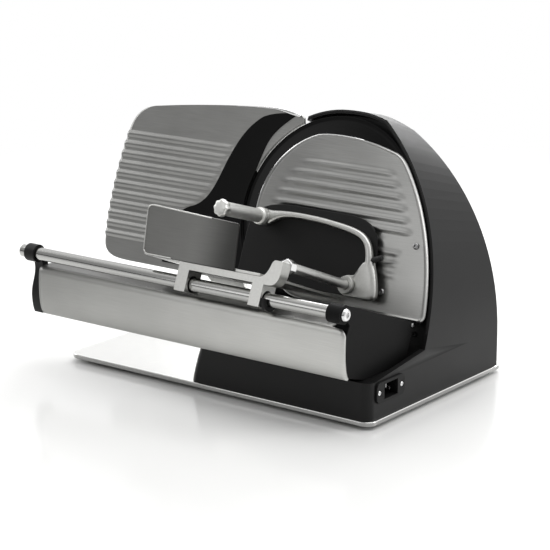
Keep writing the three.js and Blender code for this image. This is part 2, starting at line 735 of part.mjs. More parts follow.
// Gauge plate: its right edge follows the blade, and its ribs stop at the smooth run-in
const gaugeEdgeR = BLADE_R + GAUGE_GAP;
const edgePoint = (w) => [-Math.sqrt(gaugeEdgeR ** 2 - w ** 2), w];
const gaugeTip = [-58.5, GAUGE_TOP - 7];
const gaugeShape = new THREE.Shape();
gaugeShape.moveTo(...edgePoint(GAUGE_BOTTOM));
gaugeShape.lineTo(GAUGE_LEFT + 45, GAUGE_BOTTOM);
gaugeShape.bezierCurveTo(
  GAUGE_LEFT + 18, GAUGE_BOTTOM, GAUGE_LEFT + 8, GAUGE_BOTTOM + 5, GAUGE_LEFT + 5.5, GAUGE_BOTTOM + 22,
);
gaugeShape.bezierCurveTo(GAUGE_LEFT - 1.5, -30, GAUGE_LEFT - 1.5, 20, GAUGE_LEFT + 4, 63);
gaugeShape.bezierCurveTo(GAUGE_LEFT + 7, 84, GAUGE_LEFT + 22, 92, GAUGE_LEFT + 40, 93.5);
gaugeShape.bezierCurveTo(GAUGE_LEFT + 90, 101, GAUGE_LEFT + 160, 107, -97, GAUGE_TOP);
gaugeShape.bezierCurveTo(-84, GAUGE_TOP + 0.6, -66, GAUGE_TOP - 1, ...gaugeTip);
gaugeShape.lineTo(...edgePoint(96));
const edgeFrom = Math.atan2(96, edgePoint(96)[0]);
const edgeTo = 2 * Math.PI + Math.atan2(GAUGE_BOTTOM, edgePoint(GAUGE_BOTTOM)[0]);
gaugeShape.absarc(0, 0, gaugeEdgeR, edgeFrom, edgeTo, false);

// The smooth run-in panel: an S on its left, the blade's circle on its right
const inlayEdgeR = gaugeEdgeR + 3;
const inlayLow = GAUGE_BOTTOM + 6;
const inlayFoot = [-Math.sqrt(inlayEdgeR ** 2 - inlayLow ** 2), inlayLow];
const inlayHead = 40;
const inlayShape = new THREE.Shape();
inlayShape.moveTo(...inlayFoot);
inlayShape.lineTo(-206, inlayLow);
inlayShape.bezierCurveTo(-206, -45, -206, -22, -180, -14.5);
inlayShape.bezierCurveTo(-150, -6, -147, 24, -139, 45);
inlayShape.bezierCurveTo(-130, 68, -124, 92, -98, 99.5);
inlayShape.bezierCurveTo(-92, 102.5, -86, 104.5, -80, 104.5);
inlayShape.bezierCurveTo(-98, 92, -106, 72, -Math.sqrt(inlayEdgeR ** 2 - inlayHead ** 2), inlayHead);
inlayShape.absarc(
  0, 0, inlayEdgeR, Math.atan2(inlayHead, -Math.sqrt(inlayEdgeR ** 2 - inlayHead ** 2)),
  2 * Math.PI + Math.atan2(inlayLow, inlayFoot[0]), false,
);

function ribs(count, top, left, right, faceU) {
  const strips = [];
  for (let i = 0; i < count; i += 1) {
    const profile = new THREE.Shape();
    profile.absellipse(faceU, top - i * RIB_PITCH, RIB_H, RIB_W / 2, Math.PI / 2, 1.5 * Math.PI, false);
    profile.lineTo(faceU + 1, top - i * RIB_PITCH - RIB_W / 2);
    profile.lineTo(faceU + 1, top - i * RIB_PITCH + RIB_W / 2);
    strips.push(slabYZ(profile, left, right, 5));
  }
  return union(...strips);
}

// Ribs run across the plate up to the S curve
const ribZone = new THREE.Shape();
ribZone.moveTo(GAUGE_LEFT - 10, GAUGE_BOTTOM);
ribZone.lineTo(-209, GAUGE_BOTTOM);
ribZone.bezierCurveTo(-209, -45, -209, -19, -182, -11.5);
ribZone.bezierCurveTo(-153, -4, -150, 26, -142, 46);
ribZone.lineTo(-134, 70);
ribZone.lineTo(GAUGE_LEFT - 10, 70);
const gaugeRear = gaugeBack;
const gaugeSlab = solid(slabXW(gaugeShape, GAUGE_FRONT_U, gaugeRear, 0, 8));
const gaugeOuter = solid(slabXW(gaugeShape, GAUGE_FRONT_U - RIB_H - 1, gaugeRear, 0, 8));
const gaugeRibs = ribs(GAUGE_RIBS, GAUGE_RIB_TOP, GAUGE_LEFT - 5, -120, GAUGE_FRONT_U)
  .intersect(gaugeOuter)
  .intersect(solid(slabXW(ribZone, GAUGE_FRONT_U - RIB_H - 1, gaugeRear, 0, 8)));
const pocketFloor = GAUGE_FRONT_U - INLAY_PROUD + INLAY_THICK + SEAT;
const pocket = slabXW(inlayShape, GAUGE_FRONT_U - 2, pocketFloor, 0, 8);
addPart(slope, 'gauge_plate', cut(gaugeSlab.add(gaugeRibs), pocket), brushed);
const inlayInner = insetPoints(inlayShape.extractPoints(8).shape, SEAT);
const inlayFront = GAUGE_FRONT_U - INLAY_PROUD;
addPart(
  slope, 'gauge_panel', slabXW(new THREE.Shape(inlayInner), inlayFront, inlayFront + INLAY_THICK), blackGloss,
);

// Gauge arm behind the plate, ending in the slide bar and its follower pin
const armFront = gaugeBack + SEAT;
const armBack = armFront + ARM_THICK;
const barHalf = SLIDE_SIDE / 2;
const armShape = outline([
  [-178, -18],
  [-124, -18],
  [-119, -40],
  [-108, -64],
  [-90, -92],
  [SLIDE_X + barHalf, SLIDE_W + barHalf + 5],
  [SLIDE_X + barHalf, SLIDE_W - barHalf - 5],
  [SLIDE_X - barHalf - 10, SLIDE_W - barHalf - 5],
  [-150, -84],
  [-178, -62],
]);
const gaugeArm = union(
  slabXW(armShape, armFront, armBack),
  block(
    SLIDE_X - barHalf, SLIDE_X + barHalf, armBack - 1, SLIDE_END_U, SLIDE_W - barHalf, SLIDE_W + barHalf,
  ),
  barX(PIN_R, SLIDE_X, wallIn + SEAT + CAM_THICK - 1, PIN_U, SLIDE_W, 16),
);
addPart(slope, 'gauge_arm', gaugeArm, aluminium);
const guideHalf = barHalf + GUIDE_WALL;
const guideHole = barHalf + RUN;
const guide = cut(
  union(block(
    SLIDE_X - guideHalf, HOUSING_LEFT - SEAT, GUIDE_FROM_U, GUIDE_TO_U,
    SLIDE_W - guideHalf, SLIDE_W + guideHalf,
  )),
  block(
    SLIDE_X - guideHole, SLIDE_X + guideHole, GUIDE_FROM_U - 1, GUIDE_TO_U + 1,
    SLIDE_W - guideHole, SLIDE_W + guideHole,
  ),
);
addPart(slope, 'gauge_guide', guide, aluminium);

// Thickness knob: its shaft carries a disc with a spiral groove for the follower pin
const grooveHalf = PIN_R + RUN;
const groove = [];
for (const side of [1, -1]) {
  for (let i = 0; i <= GROOVE_STEPS; i += 1) {
    const share = (side > 0 ? i : GROOVE_STEPS - i) / GROOVE_STEPS;
    const angle = Math.PI + CAM_TURN * share;
    const r = CAM_FAR - GAUGE_OPEN * share + side * grooveHalf;
    groove.push([camU + r * Math.cos(angle), SLIDE_W + r * Math.sin(angle)]);
  }
}
const camNear = wallIn + SEAT;
const camDisc = cut(
  union(barX(CAM_R, camNear, camNear + CAM_THICK, camU, SLIDE_W, 36)),
  slabYZ(outline(groove), camNear - 1, camNear + CAM_THICK - 0.6),
  ...[0, 1].map((share) => {
    const r = CAM_FAR - GAUGE_OPEN * share;
    const angle = Math.PI + CAM_TURN * share;
    const end = [camU + r * Math.cos(angle), SLIDE_W + r * Math.sin(angle)];
    return barX(grooveHalf, camNear - 1, camNear + CAM_THICK - 0.6, ...end, 20);
  }),
);
const shaftBar = union(barX(KNOB_SHAFT_R, KNOB_FACE_X + KNOB_LONG, camNear + CAM_THICK, camU, SLIDE_W, 24));
addPart(slope, 'thickness_cam', camDisc.add(shaftBar), steel);
const knobShape = lobed(KNOB_R, 2, KNOB_LOBES);
const knobGrip = slabYZ(knobShape, KNOB_FACE_X, KNOB_FACE_X + KNOB_LONG - SEAT).translate(0, camU, SLIDE_W);
addPart(slope, 'thickness_knob', knobGrip, blackPlastic);

// Blade cover: round on the left, following the shell on the right, on two posts
const coverRight = archPoints(frontArch, COVER_RIM_GAP, 0, 0).slice(2, 25);
const shoulderAt = coverRight.findIndex(([, w]) => w > COVER_SHOULDER);
const [sideLow, sideHigh] = coverRight.slice(shoulderAt - 1, shoulderAt + 1);
const shoulderX = sideLow[0]
  + ((sideHigh[0] - sideLow[0]) * (COVER_SHOULDER - sideLow[1])) / (sideHigh[1] - sideLow[1]);
const coverSide = coverRight.slice(0, shoulderAt).filter(([, w]) => w > COVER_BOTTOM + 6);
const coverShape = new THREE.Shape();
coverShape.moveTo(coverSide[0][0] - 6, COVER_BOTTOM);
coverShape.quadraticCurveTo(coverSide[0][0], COVER_BOTTOM, ...coverSide[0]);
for (const [x, w] of [...coverSide.slice(1), [shoulderX, COVER_SHOULDER]]) {
  coverShape.lineTo(x, w);
}
coverShape.quadraticCurveTo(
  shoulderX - 9, COVER_SHOULDER + 10.6, shoulderX - 19.5, COVER_SHOULDER + 12.6,
);
const coverTurn = THREE.MathUtils.degToRad(110);
coverShape.bezierCurveTo(
  0.33 * COVER_R, 0.989 * COVER_R, -0.154 * COVER_R, 0.984 * COVER_R,
  COVER_R * Math.cos(coverTurn), COVER_R * Math.sin(coverTurn),
);
coverShape.absarc(0, 0, COVER_R, coverTurn, Math.PI * 1.5 - 0.45, false);
coverShape.quadraticCurveTo(-0.25 * COVER_R, COVER_BOTTOM, 0, COVER_BOTTOM);
const coverBack = COVER_FRONT_U + COVER_THICK;
const coverRibZone = new THREE.Shape();
coverRibZone.absarc(0, 0, COVER_R - 14, Math.PI * 0.5, Math.PI * 1.36, false);
coverRibZone.lineTo(125, -74);
coverRibZone.quadraticCurveTo(122, 0, 66, 66);
const coverPosts = Object.keys(COVER_POST_OUT).map((level) => {
  const r = BLADE_R + COVER_POST_OUT[level];
  return [level, r * Math.cos(COVER_POST_ANGLE[level]), r * Math.sin(COVER_POST_ANGLE[level])];
});
const coverRibs = cut(
  ribs(COVER_RIBS, COVER_RIB_TOP, -COVER_R, HOUSING_RIGHT, COVER_FRONT_U).intersect(
    solid(slabXW(coverRibZone, COVER_FRONT_U - RIB_H - 1, coverBack)),
  ),
  ...coverPosts.map(([, x, w]) => barU(
    COVER_SCREW_R + COVER_SCREW_CLEAR, COVER_FRONT_U - RIB_H - 1, COVER_FRONT_U + 1, x, w,
  )),
);
addPart(
  slope, 'blade_cover', solid(slabXW(coverShape, COVER_FRONT_U, coverBack, 0, 16)).add(coverRibs), brushed,
);
const screwTop = COVER_FRONT_U - SEAT;
for (const [level, x, w] of coverPosts) {
  addPart(
    slope, `cover_post_${level}`, barU(COVER_POST_R, coverBack + SEAT, RECESS_DEEP - SEAT, x, w, 20), steel,
  );
  addPart(
    slope, `cover_screw_${level}`, barU(COVER_SCREW_R, screwTop - COVER_SCREW_H, screwTop, x, w, 20), steel,
  );
}
const [recessScrewX, recessScrewW] = RECESS_SCREW_AT;
addPart(
  slope, 'recess_screw',
  barU(RECESS_SCREW_R, RECESS_DEEP - SEAT - COVER_SCREW_H, RECESS_DEEP - SEAT, recessScrewX, recessScrewW, 20),
  blackPaint,
);

// Rail, its end bracket and cap, and the apron hung between them
const railRight = BRACKET_LEFT + RAIL_SINK;
addPart(slope, 'rail', barX(RAIL_R, RAIL_LEFT, railRight - SEAT, RAIL_U, RAIL_W, 32), chrome);

// Apron: a sheet that falls from a flange under the carriage, a little bellied, and turns in at its foot
const bendEnd = APRON_TOP - APRON_BEND;
const apronOuter = new THREE.CurvePath();
const apronBend = (...points) =>
  apronOuter.add(new THREE.CubicBezierCurve(...points.map(([y, z]) => new THREE.Vector2(y, z))));
apronBend(
  [APRON_FRONT + APRON_BEND, APRON_TOP], [APRON_FRONT + 3, APRON_TOP],
  [APRON_FRONT + 1, APRON_TOP - 3.5], [APRON_FRONT + 0.8, bendEnd],
);
apronBend(
  [APRON_FRONT + 0.8, bendEnd], [APRON_FRONT, bendEnd - 12],
  [APRON_FRONT - 0.3, APRON_FOOT + 23], [APRON_FRONT + 1.4, APRON_FOOT + 13],
);
apronBend(
  [APRON_FRONT + 1.4, APRON_FOOT + 13], [APRON_FRONT + 2.4, APRON_FOOT + 7],
  [APRON_FRONT + 4, APRON_FOOT + 3], [APRON_FRONT + 6.2, APRON_FOOT],
);
const bendPoints = 8;
const outerPoints = apronOuter.getPoints(bendPoints);
const shifted = (points, by) => points.map((p, i) => {
  const before = points[Math.max(i - 1, 0)];
  const after = points[Math.min(i + 1, points.length - 1)];
  const along = after.clone().sub(before).normalize();
  return new THREE.Vector2(p.x - along.y * by, p.y + along.x * by);
});
const innerPoints = shifted(outerPoints, APRON_SHEET);
const apronFace = new THREE.Shape([
  new THREE.Vector2(APRON_FRONT + APRON_FLANGE, APRON_TOP),
  ...outerPoints,
  ...innerPoints.slice().reverse(),
  new THREE.Vector2(APRON_FRONT + APRON_FLANGE, APRON_TOP - APRON_SHEET),
]);

// Right of the flange the face laps over the bracket, with a rounded upper corner
const lapFace = new THREE.Shape([
  ...outerPoints.slice(bendPoints / 2), ...innerPoints.slice(bendPoints / 2).reverse(),
]);
const lapCorner = new THREE.Shape();
lapCorner.moveTo(BRACKET_LEFT + 3, APRON_TOP + 1);
lapCorner.lineTo(BRACKET_RIGHT + 1, APRON_TOP + 1);
lapCorner.lineTo(BRACKET_RIGHT + 1, bendEnd);
lapCorner.lineTo(BRACKET_RIGHT, bendEnd);
lapCorner.quadraticCurveTo(BRACKET_RIGHT - 0.5, APRON_TOP, BRACKET_LEFT + 3, APRON_TOP);
const apronLeft = CAP_LEFT + CAP_THICK + SEAT;
const apronRight = BRACKET_LEFT - SEAT;
const apron = cut(
  union(slabYZ(apronFace, apronLeft, apronRight), slabYZ(lapFace, apronRight - 1, BRACKET_RIGHT)),
  slabXW(lapCorner, APRON_FRONT - 2, APRON_FRONT + APRON_BEND + 2, 0, 6),
);
addPart(machine, 'apron', apron, brushed);

// Bracket: a deep side plate behind the apron's right end, with the rail's collar
const endFoot = CONSOLE_TOP + SEAT;
const bracketRear = fromSlope(BRACKET_REAR_U, BRACKET_REAR_W);
const bracketRearFoot = { y: bracketRear.y - (bracketRear.z - endFoot) * Math.tan(TILT), z: endFoot };
const collarTop = fromSlope(RAIL_U, RAIL_W + COLLAR_R - 0.2);
const bracketFront = shifted(outerPoints.slice(bendPoints), APRON_SHEET + SEAT).reverse();
const bracketShape = new THREE.Shape([
  new THREE.Vector2(CONSOLE_FRONT + CONSOLE_CORNER_R, endFoot),
  ...bracketFront,
  new THREE.Vector2(APRON_FRONT + APRON_BEND, APRON_TOP + 2),
  new THREE.Vector2(rail.y, rail.z),
  new THREE.Vector2(collarTop.y, collarTop.z),
  new THREE.Vector2(bracketRear.y, bracketRear.z),
  new THREE.Vector2(bracketRearFoot.y, bracketRearFoot.z),
]);
const collarRight = barX(COLLAR_R, BRACKET_LEFT - COLLAR_LONG, BRACKET_RIGHT, rail.y, rail.z, 32);
const bracket = cut(
  union(slabYZ(bracketShape, BRACKET_LEFT, BRACKET_RIGHT, 8), collarRight),
  barX(RAIL_R + RUN, BRACKET_LEFT - COLLAR_LONG - 1, railRight, rail.y, rail.z),
  barX(RAIL_SCREW_SHANK_R + RUN, railRight - 1, BRACKET_RIGHT + 1, rail.y, rail.z, 20),
);
addPart(machine, 'rail_bracket', bracket, blackPaint);
const railScrew = union(
  barX(RAIL_SCREW_R, BRACKET_RIGHT + SEAT, BRACKET_RIGHT + RAIL_SCREW_H, rail.y, rail.z, 24),
  barX(RAIL_SCREW_SHANK_R, railRight + SEAT, BRACKET_RIGHT + 1, rail.y, rail.z, 16),
);
addPart(machine, 'rail_screw', railScrew, chrome);
const bracketScrew = barX(
  BRACKET_SCREW_R, BRACKET_RIGHT + SEAT, BRACKET_RIGHT + BRACKET_SCREW_H,
  bracketRear.y - 1.75 * BRACKET_SCREW_R, bracketRear.z - 1.2 * BRACKET_SCREW_R, 20,
);
addPart(machine, 'bracket_screw', bracketScrew, steel);

// Cap: a head on the rail's left end, with a necked leg that closes the apron
const capRear = APRON_FRONT + CAP_DEEP;
const capShape = new THREE.Shape();
capShape.moveTo(capRear, APRON_FOOT);
capShape.lineTo(APRON_FRONT + 5.5, APRON_FOOT);
capShape.bezierCurveTo(
  APRON_FRONT + 3.2, APRON_FOOT + 5, APRON_FRONT + 1.8, APRON_FOOT + 12, APRON_FRONT + 1.6, APRON_FOOT + 20,
);
capShape.bezierCurveTo(
  APRON_FRONT + 1.6, APRON_FOOT + 32, APRON_FRONT + 7, bendEnd - 8, APRON_FRONT + 8, APRON_TOP - 6,
);
capShape.bezierCurveTo(APRON_FRONT + 8.4, APRON_TOP - 1, APRON_FRONT + 7, APRON_TOP + 3, rail.y + 5, rail.z - 7);
capShape.lineTo(rail.y, rail.z);
capShape.lineTo(rail.y + 8, rail.z - 3);
capShape.bezierCurveTo(capRear - 4, APRON_TOP + 6, capRear, APRON_TOP - 2, capRear, bendEnd - 6);
const capHead = barX(COLLAR_R, CAP_LEFT, CAP_LEFT + CAP_HEAD_LONG, rail.y, rail.z, 32);
const cap = cut(
  union(slabYZ(capShape, CAP_LEFT, CAP_LEFT + CAP_THICK, 8), capHead),
  barX(RAIL_R + RUN, CAP_LEFT - 1, CAP_LEFT + CAP_HEAD_LONG + 1, rail.y, rail.z),
);
addPart(machine, 'rail_cap', cap, blackPlastic);

// Carriage: a beam with two bored legs on the rail, and a lug for the pusher's rod
const legLeft = [BEAM_LEFT, BEAM_LEFT + BLOCK_LONG];
const legRight = [BEAM_RIGHT - BLOCK_LONG, BEAM_RIGHT];
const beamBottom = BEAM_TOP_W - BEAM_DEEP;
const lugLeft = BEAM_RIGHT - 8;
const lugRight = PUSH_ROD_X + LUG_HALF;
const lugTop = PUSH_ROD_W + LUG_OVER;
const lugShape = new THREE.Shape();
lugShape.moveTo(lugLeft, beamBottom);
lugShape.lineTo(BEAM_RIGHT + 6, beamBottom);
lugShape.quadraticCurveTo(lugRight, beamBottom, lugRight, PUSH_ROD_W - LUG_HALF);
lugShape.lineTo(lugRight, lugTop - 3);
lugShape.quadraticCurveTo(lugRight, lugTop, lugRight - 3, lugTop);
lugShape.lineTo(PUSH_ROD_X - LUG_HALF + 3, lugTop);
lugShape.quadraticCurveTo(PUSH_ROD_X - LUG_HALF, lugTop, PUSH_ROD_X - LUG_HALF - 1.5, lugTop - 4);
lugShape.quadraticCurveTo(PUSH_ROD_X - LUG_HALF - 5, BEAM_TOP_W, lugLeft, BEAM_TOP_W);
const carriage = cut(
  union(
    block(BEAM_LEFT, BEAM_RIGHT, BEAM_FRONT_U, BEAM_REAR_U, beamBottom, BEAM_TOP_W),
    block(...legLeft, BEAM_FRONT_U, BEAM_REAR_U, BLOCK_FOOT_W, BEAM_TOP_W),
    block(...legRight, BEAM_FRONT_U, BEAM_REAR_U, BLOCK_FOOT_W, BEAM_TOP_W),
    slabXW(lugShape, BEAM_FRONT_U, LUG_REAR_U, 0, 8),
  ),
  barX(BUSH_R + SEAT, BEAM_LEFT - 1, BEAM_RIGHT + 1, RAIL_U, RAIL_W),
  barU(PUSH_ROD_SPIGOT_R + SEAT, BEAM_FRONT_U + 3, BEAM_REAR_U + 1, PUSH_ROD_X, PUSH_ROD_W, 24),
);
addPart(slope, 'carriage', carriage, aluminium);
const bushAt = ([from, to]) => cut(
  union(barX(BUSH_R, from + SEAT, to - SEAT, RAIL_U, RAIL_W)),
  barX(RAIL_R + RUN, from - 1, to + 1, RAIL_U, RAIL_W),
);
addPart(slope, 'carriage_bush_left', bushAt(legLeft), blackPlastic);
addPart(slope, 'carriage_bush_right', bushAt(legRight), blackPlastic);

// Keeper: a half collar under the rail on the carriage's right leg
const keeperShape = new THREE.Shape();
keeperShape.absarc(RAIL_U, RAIL_W, KEEPER_R, Math.PI, 2 * Math.PI, false);
keeperShape.absarc(RAIL_U, RAIL_W, RAIL_R + RUN, 2 * Math.PI, Math.PI, true);
addPart(
  slope, 'carriage_keeper',
  slabYZ(keeperShape, BEAM_RIGHT + SEAT, BEAM_RIGHT + KEEPER_LONG, 10), blackPlastic,
);

// Food tray on the beam, with the hand guard along its front edge
const trayFoot = BEAM_TOP_W + SEAT;
const trayFront = BEAM_FRONT_U + GUARD_THICK + SEAT;
const trayShape = outline([
  [TRAY_LEFT, trayFront],
  [lugLeft - 1, trayFront],
  [lugLeft - 1, LUG_REAR_U + 1],
  [TRAY_RIGHT, LUG_REAR_U + 1],
  [TRAY_RIGHT, TRAY_REAR_U],
  [TRAY_LEFT, TRAY_REAR_U],
]);
addPart(slope, 'food_tray', slabXY(trayShape, trayFoot, trayTop), brushed);
const guardShape = new THREE.Shape();
guardShape.moveTo(GUARD_RIGHT + 6, trayFoot);
guardShape.lineTo(GUARD_RIGHT - 1, GUARD_TOP_W - GUARD_DROP);
guardShape.lineTo(GUARD_LEFT + 9, GUARD_TOP_W - 0.3);
guardShape.quadraticCurveTo(GUARD_LEFT - 0.5, GUARD_TOP_W, GUARD_LEFT + 0.5, GUARD_TOP_W - 9);
guardShape.lineTo(GUARD_LEFT + 6.5, trayTop + 3);
guardShape.quadraticCurveTo(GUARD_LEFT + 7.5, trayFoot, GUARD_LEFT + 16, trayFoot);
addPart(
  slope, 'hand_guard', slabXW(guardShape, BEAM_FRONT_U, BEAM_FRONT_U + GUARD_THICK, 0, 6), brushed,
);

// Pusher rod, cantilevered from the lug, with its lock nut
const pushRodFront = BEAM_FRONT_U + 3 + SEAT;
const pushRod = union(
  barU(PUSH_ROD_R, LUG_REAR_U + SEAT, PUSH_ROD_REAR_U, PUSH_ROD_X, PUSH_ROD_W, 24),
  barU(PUSH_ROD_SPIGOT_R, pushRodFront, LUG_REAR_U + 1, PUSH_ROD_X, PUSH_ROD_W, 24),
);
addPart(slope, 'pusher_rod', pushRod, chrome);
const nutFront = LUG_REAR_U + SEAT;
const nut = cut(
  union(barU(NUT_R, nutFront, nutFront + NUT_LONG, PUSH_ROD_X, PUSH_ROD_W, 6)),
  barU(PUSH_ROD_R + RUN, nutFront - 1, nutFront + NUT_LONG + 1, PUSH_ROD_X, PUSH_ROD_W, 24),
);
addPart(slope, 'pusher_rod_nut', nut, chrome);

// Sleeve that slides on the rod, and on which the pusher's arm swings
const sleeveShoulder = pushArmFront - SEAT;
const sleeve = turned([
  [PUSH_ROD_R + RUN, sleeveShoulder - SLEEVE_FLANGE],
  [SLEEVE_FLANGE_R, sleeveShoulder - SLEEVE_FLANGE],
  [SLEEVE_FLANGE_R, sleeveShoulder],
  [SLEEVE_R, sleeveShoulder],
  [SLEEVE_R, pushArmRear],
  [PUSH_ROD_R + RUN, pushArmRear],
], 24).translate(PUSH_ROD_X, 0, PUSH_ROD_W);
addPart(slope, 'pusher_sleeve', sleeve, aluminium);

// Arm: a ribbon of changing width along a curve, with a foot round the sleeve
const armStations = [
  [PUSH_ROD_X + 16, PUSH_ROD_W + 9.5, 6.5], // each with half the ribbon's width
  [PUSH_ROD_X + 17.5, PUSH_ROD_W + 21.5, 5.6],
  [PUSH_ROD_X + 18, PUSH_ROD_W + 28, 4.2],
  [PUSH_ROD_X + 16, PUSH_ROD_W + 37, 3.8],
  [PUSH_ROD_X + 12, PUSH_ROD_W + 46, 3.6],
  [PUSH_ROD_X + 5.8, PUSH_ROD_W + 52.4, 3.4],
  [PUSH_ROD_X - 3, PUSH_ROD_W + 56.5, 3.4],
  [PUSH_ROD_X - 17, PUSH_ROD_W + 59.5, 3.4],
  [PUSH_ROD_X - 32.5, PUSH_ROD_W + 61.5, 3.2],
  [HANDLE_X + 79, HANDLE_W + 6.6, 3.1],
  [HANDLE_X + 63.5, HANDLE_W + 7.4, 3.1],
  [HANDLE_X + 47.5, HANDLE_W + 7.8, 3.1],
  [HANDLE_X + 31.5, HANDLE_W + 7.2, 3.4],
  [HANDLE_X + 15.5, HANDLE_W + 4.4, 5],
  [HANDLE_X, HANDLE_W, 8],
];
const armLine = new THREE.SplineCurve(armStations.map(([x, w]) => new THREE.Vector2(x, w)));
const armSteps = 30;
const armLeft = [];
const armRight = [];
for (let i = 0; i <= armSteps; i += 1) {
  const share = i / armSteps;
  const middle = armLine.getPoint(share);
  const along = armLine.getTangent(share);
  const station = Math.min(Math.floor(share * (armStations.length - 1)), armStations.length - 2);
  const past = share * (armStations.length - 1) - station;
  const half = THREE.MathUtils.lerp(armStations[station][2], armStations[station + 1][2], past);
  armLeft.push([middle.x - along.y * half, middle.y + along.x * half]);
  armRight.push([middle.x + along.y * half, middle.y - along.x * half]);
}
// The handle stands on a boss and leans a little down and to the left of the rod's direction
const handleAt = (geometry) => geometry
  .translate(0, -pushArmFront, 0)
  .rotateX(HANDLE_DROP)
  .rotateZ(-HANDLE_SWAY)
  .translate(HANDLE_X, pushArmFront, HANDLE_W);
const handleSeat = pushArmFront - HANDLE_BOSS;
const footShape = new THREE.Shape();
footShape.moveTo(PUSH_ROD_X, PUSH_ROD_W - PUSH_ARM_HUB_R);
footShape.lineTo(PUSH_ROD_X + 29, PUSH_ROD_W - PUSH_ARM_HUB_R - 1);
footShape.quadraticCurveTo(PUSH_ROD_X + 38, PUSH_ROD_W - 11, PUSH_ROD_X + 36.5, PUSH_ROD_W - 2);
footShape.lineTo(PUSH_ROD_X + 26, PUSH_ROD_W + 30);
footShape.lineTo(PUSH_ROD_X + 12, PUSH_ROD_W + 26);
footShape.quadraticCurveTo(PUSH_ROD_X + 10, PUSH_ROD_W + 12, PUSH_ROD_X, PUSH_ROD_W + PUSH_ARM_HUB_R);
const pinFrom = PUSH_ROD_X + 21;
const pushArmMiddle = (pushArmFront + pushArmRear) / 2;
const pusherArm = cut(
  union(
    slabXW(outline([...armRight, ...armLeft.reverse()]), pushArmFront, pushArmRear),
    slabXW(footShape, pushArmFront, pushArmRear),
    barU(PUSH_ARM_HUB_R, pushArmFront, pushArmRear, PUSH_ROD_X, PUSH_ROD_W, 32),
    handleAt(barU(HANDLE_COLLAR_R, handleSeat, pushArmFront + 0.6 * PUSH_ARM_THICK, 0, 0, 28)),
  ),
  barU(SLEEVE_R + RUN, pushArmFront - 1, pushArmRear + 1, PUSH_ROD_X, PUSH_ROD_W, 28),
  barX(STOP_PIN_R + SEAT, pinFrom - SEAT, pinFrom + STOP_PIN_LONG, pushArmMiddle, STOP_PIN_W, 16),
);
addPart(slope, 'pusher_arm', pusherArm, aluminium);
const stopPin = barX(STOP_PIN_R, pinFrom, pinFrom + STOP_PIN_LONG, pushArmMiddle, STOP_PIN_W, 16);
addPart(slope, 'pusher_stop_pin', stopPin, rubber);

// Pusher plate behind the arm
const plateFoot = trayTop + 2.6;
const pushShape = new THREE.Shape();
pushShape.moveTo(-91, plateFoot);
pushShape.lineTo(PUSH_ROD_X + 10, plateFoot);
pushShape.quadraticCurveTo(PUSH_ROD_X + 24, plateFoot, PUSH_ROD_X + 23, PUSH_ROD_W + 20);
pushShape.bezierCurveTo(
  PUSH_ROD_X + 22, PUSH_ROD_W + 66, PUSH_ROD_X + 7, PUSH_ROD_W + 73, PUSH_ROD_X - 20, PUSH_ROD_W + 75,
);
pushShape.lineTo(-38, HANDLE_W + 18.8);
pushShape.bezierCurveTo(-66, HANDLE_W + 17.5, -91, HANDLE_W + 14, -91, HANDLE_W - 18);
const rodHole = barU(PUSH_ROD_R + RUN, pushPlateFront - 1, PUSH_PLATE_REAR_U + 1, PUSH_ROD_X, PUSH_ROD_W);
addPart(
  slope, 'pusher_plate', cut(solid(slabXW(pushShape, pushPlateFront, PUSH_PLATE_REAR_U, 0, 8)), rodHole),
  blackPlastic,
);

// Handle: a collar, a plain grip and a lobed cap, towards the operator
const collarFront = handleSeat - SEAT - HANDLE_COLLAR_LONG;
const gripFront = collarFront - HANDLE_LONG;
const handle = turned([
  [0, handleSeat - SEAT],
  [HANDLE_COLLAR_R, handleSeat - SEAT],
  [HANDLE_COLLAR_R, collarFront],
  [HANDLE_R, collarFront],
  [HANDLE_R, gripFront],
  [0, gripFront],
], 28);
addPart(slope, 'pusher_handle', handleAt(handle), brushed);
const handleCap = slabXW(
  lobed(HANDLE_CAP_R, 1.6, HANDLE_CAP_LOBES), gripFront - SEAT - HANDLE_CAP_LONG, gripFront - SEAT,
);
addPart(slope, 'pusher_handle_cap', handleAt(handleCap), aluminium);

// Mains inlet: a flanged socket with three pins and two screws
const flangeFace = HOUSING_RIGHT + INLET_FLANGE;
const socketFloor = HOUSING_RIGHT - INLET_DEEP + SOCKET_FLOOR;
const inletShape = roundedRect(
  INLET_Y - INLET_LONG / 2, INLET_Z - INLET_HIGH / 2, INLET_Y + INLET_LONG / 2, INLET_Z + INLET_HIGH / 2, 6,
);
const screwSink = flangeFace - INLET_SCREW_H;
const inlet = cut(
  union(
    slabYZ(inletShape, HOUSING_RIGHT, flangeFace, 5),
    block(
      HOUSING_RIGHT - INLET_DEEP, HOUSING_RIGHT + 1,
      INLET_Y - SOCKET_LONG / 2 - SOCKET_WALL, INLET_Y + SOCKET_LONG / 2 + SOCKET_WALL,
      INLET_Z - SOCKET_HIGH / 2 - SOCKET_WALL, INLET_Z + SOCKET_HIGH / 2 + SOCKET_WALL,
    ),
  ),
  block(
    socketFloor, flangeFace + 1, INLET_Y - SOCKET_LONG / 2, INLET_Y + SOCKET_LONG / 2,
    INLET_Z - SOCKET_HIGH / 2, INLET_Z + SOCKET_HIGH / 2,
  ),
  ...[-1, 1].map((side) => barX(
    INLET_SCREW_R + SEAT, screwSink, flangeFace + 1, INLET_Y + (side * INLET_SCREW_PITCH) / 2, INLET_Z, 20,
  )),
);
addPart(machine, 'inlet', inlet, blackPlastic);
const [pinLong, pinThin, pinTall] = INLET_PIN;
const pinPlaces = { front: [-1, -1], middle: [0, 1], rear: [1, -1] };
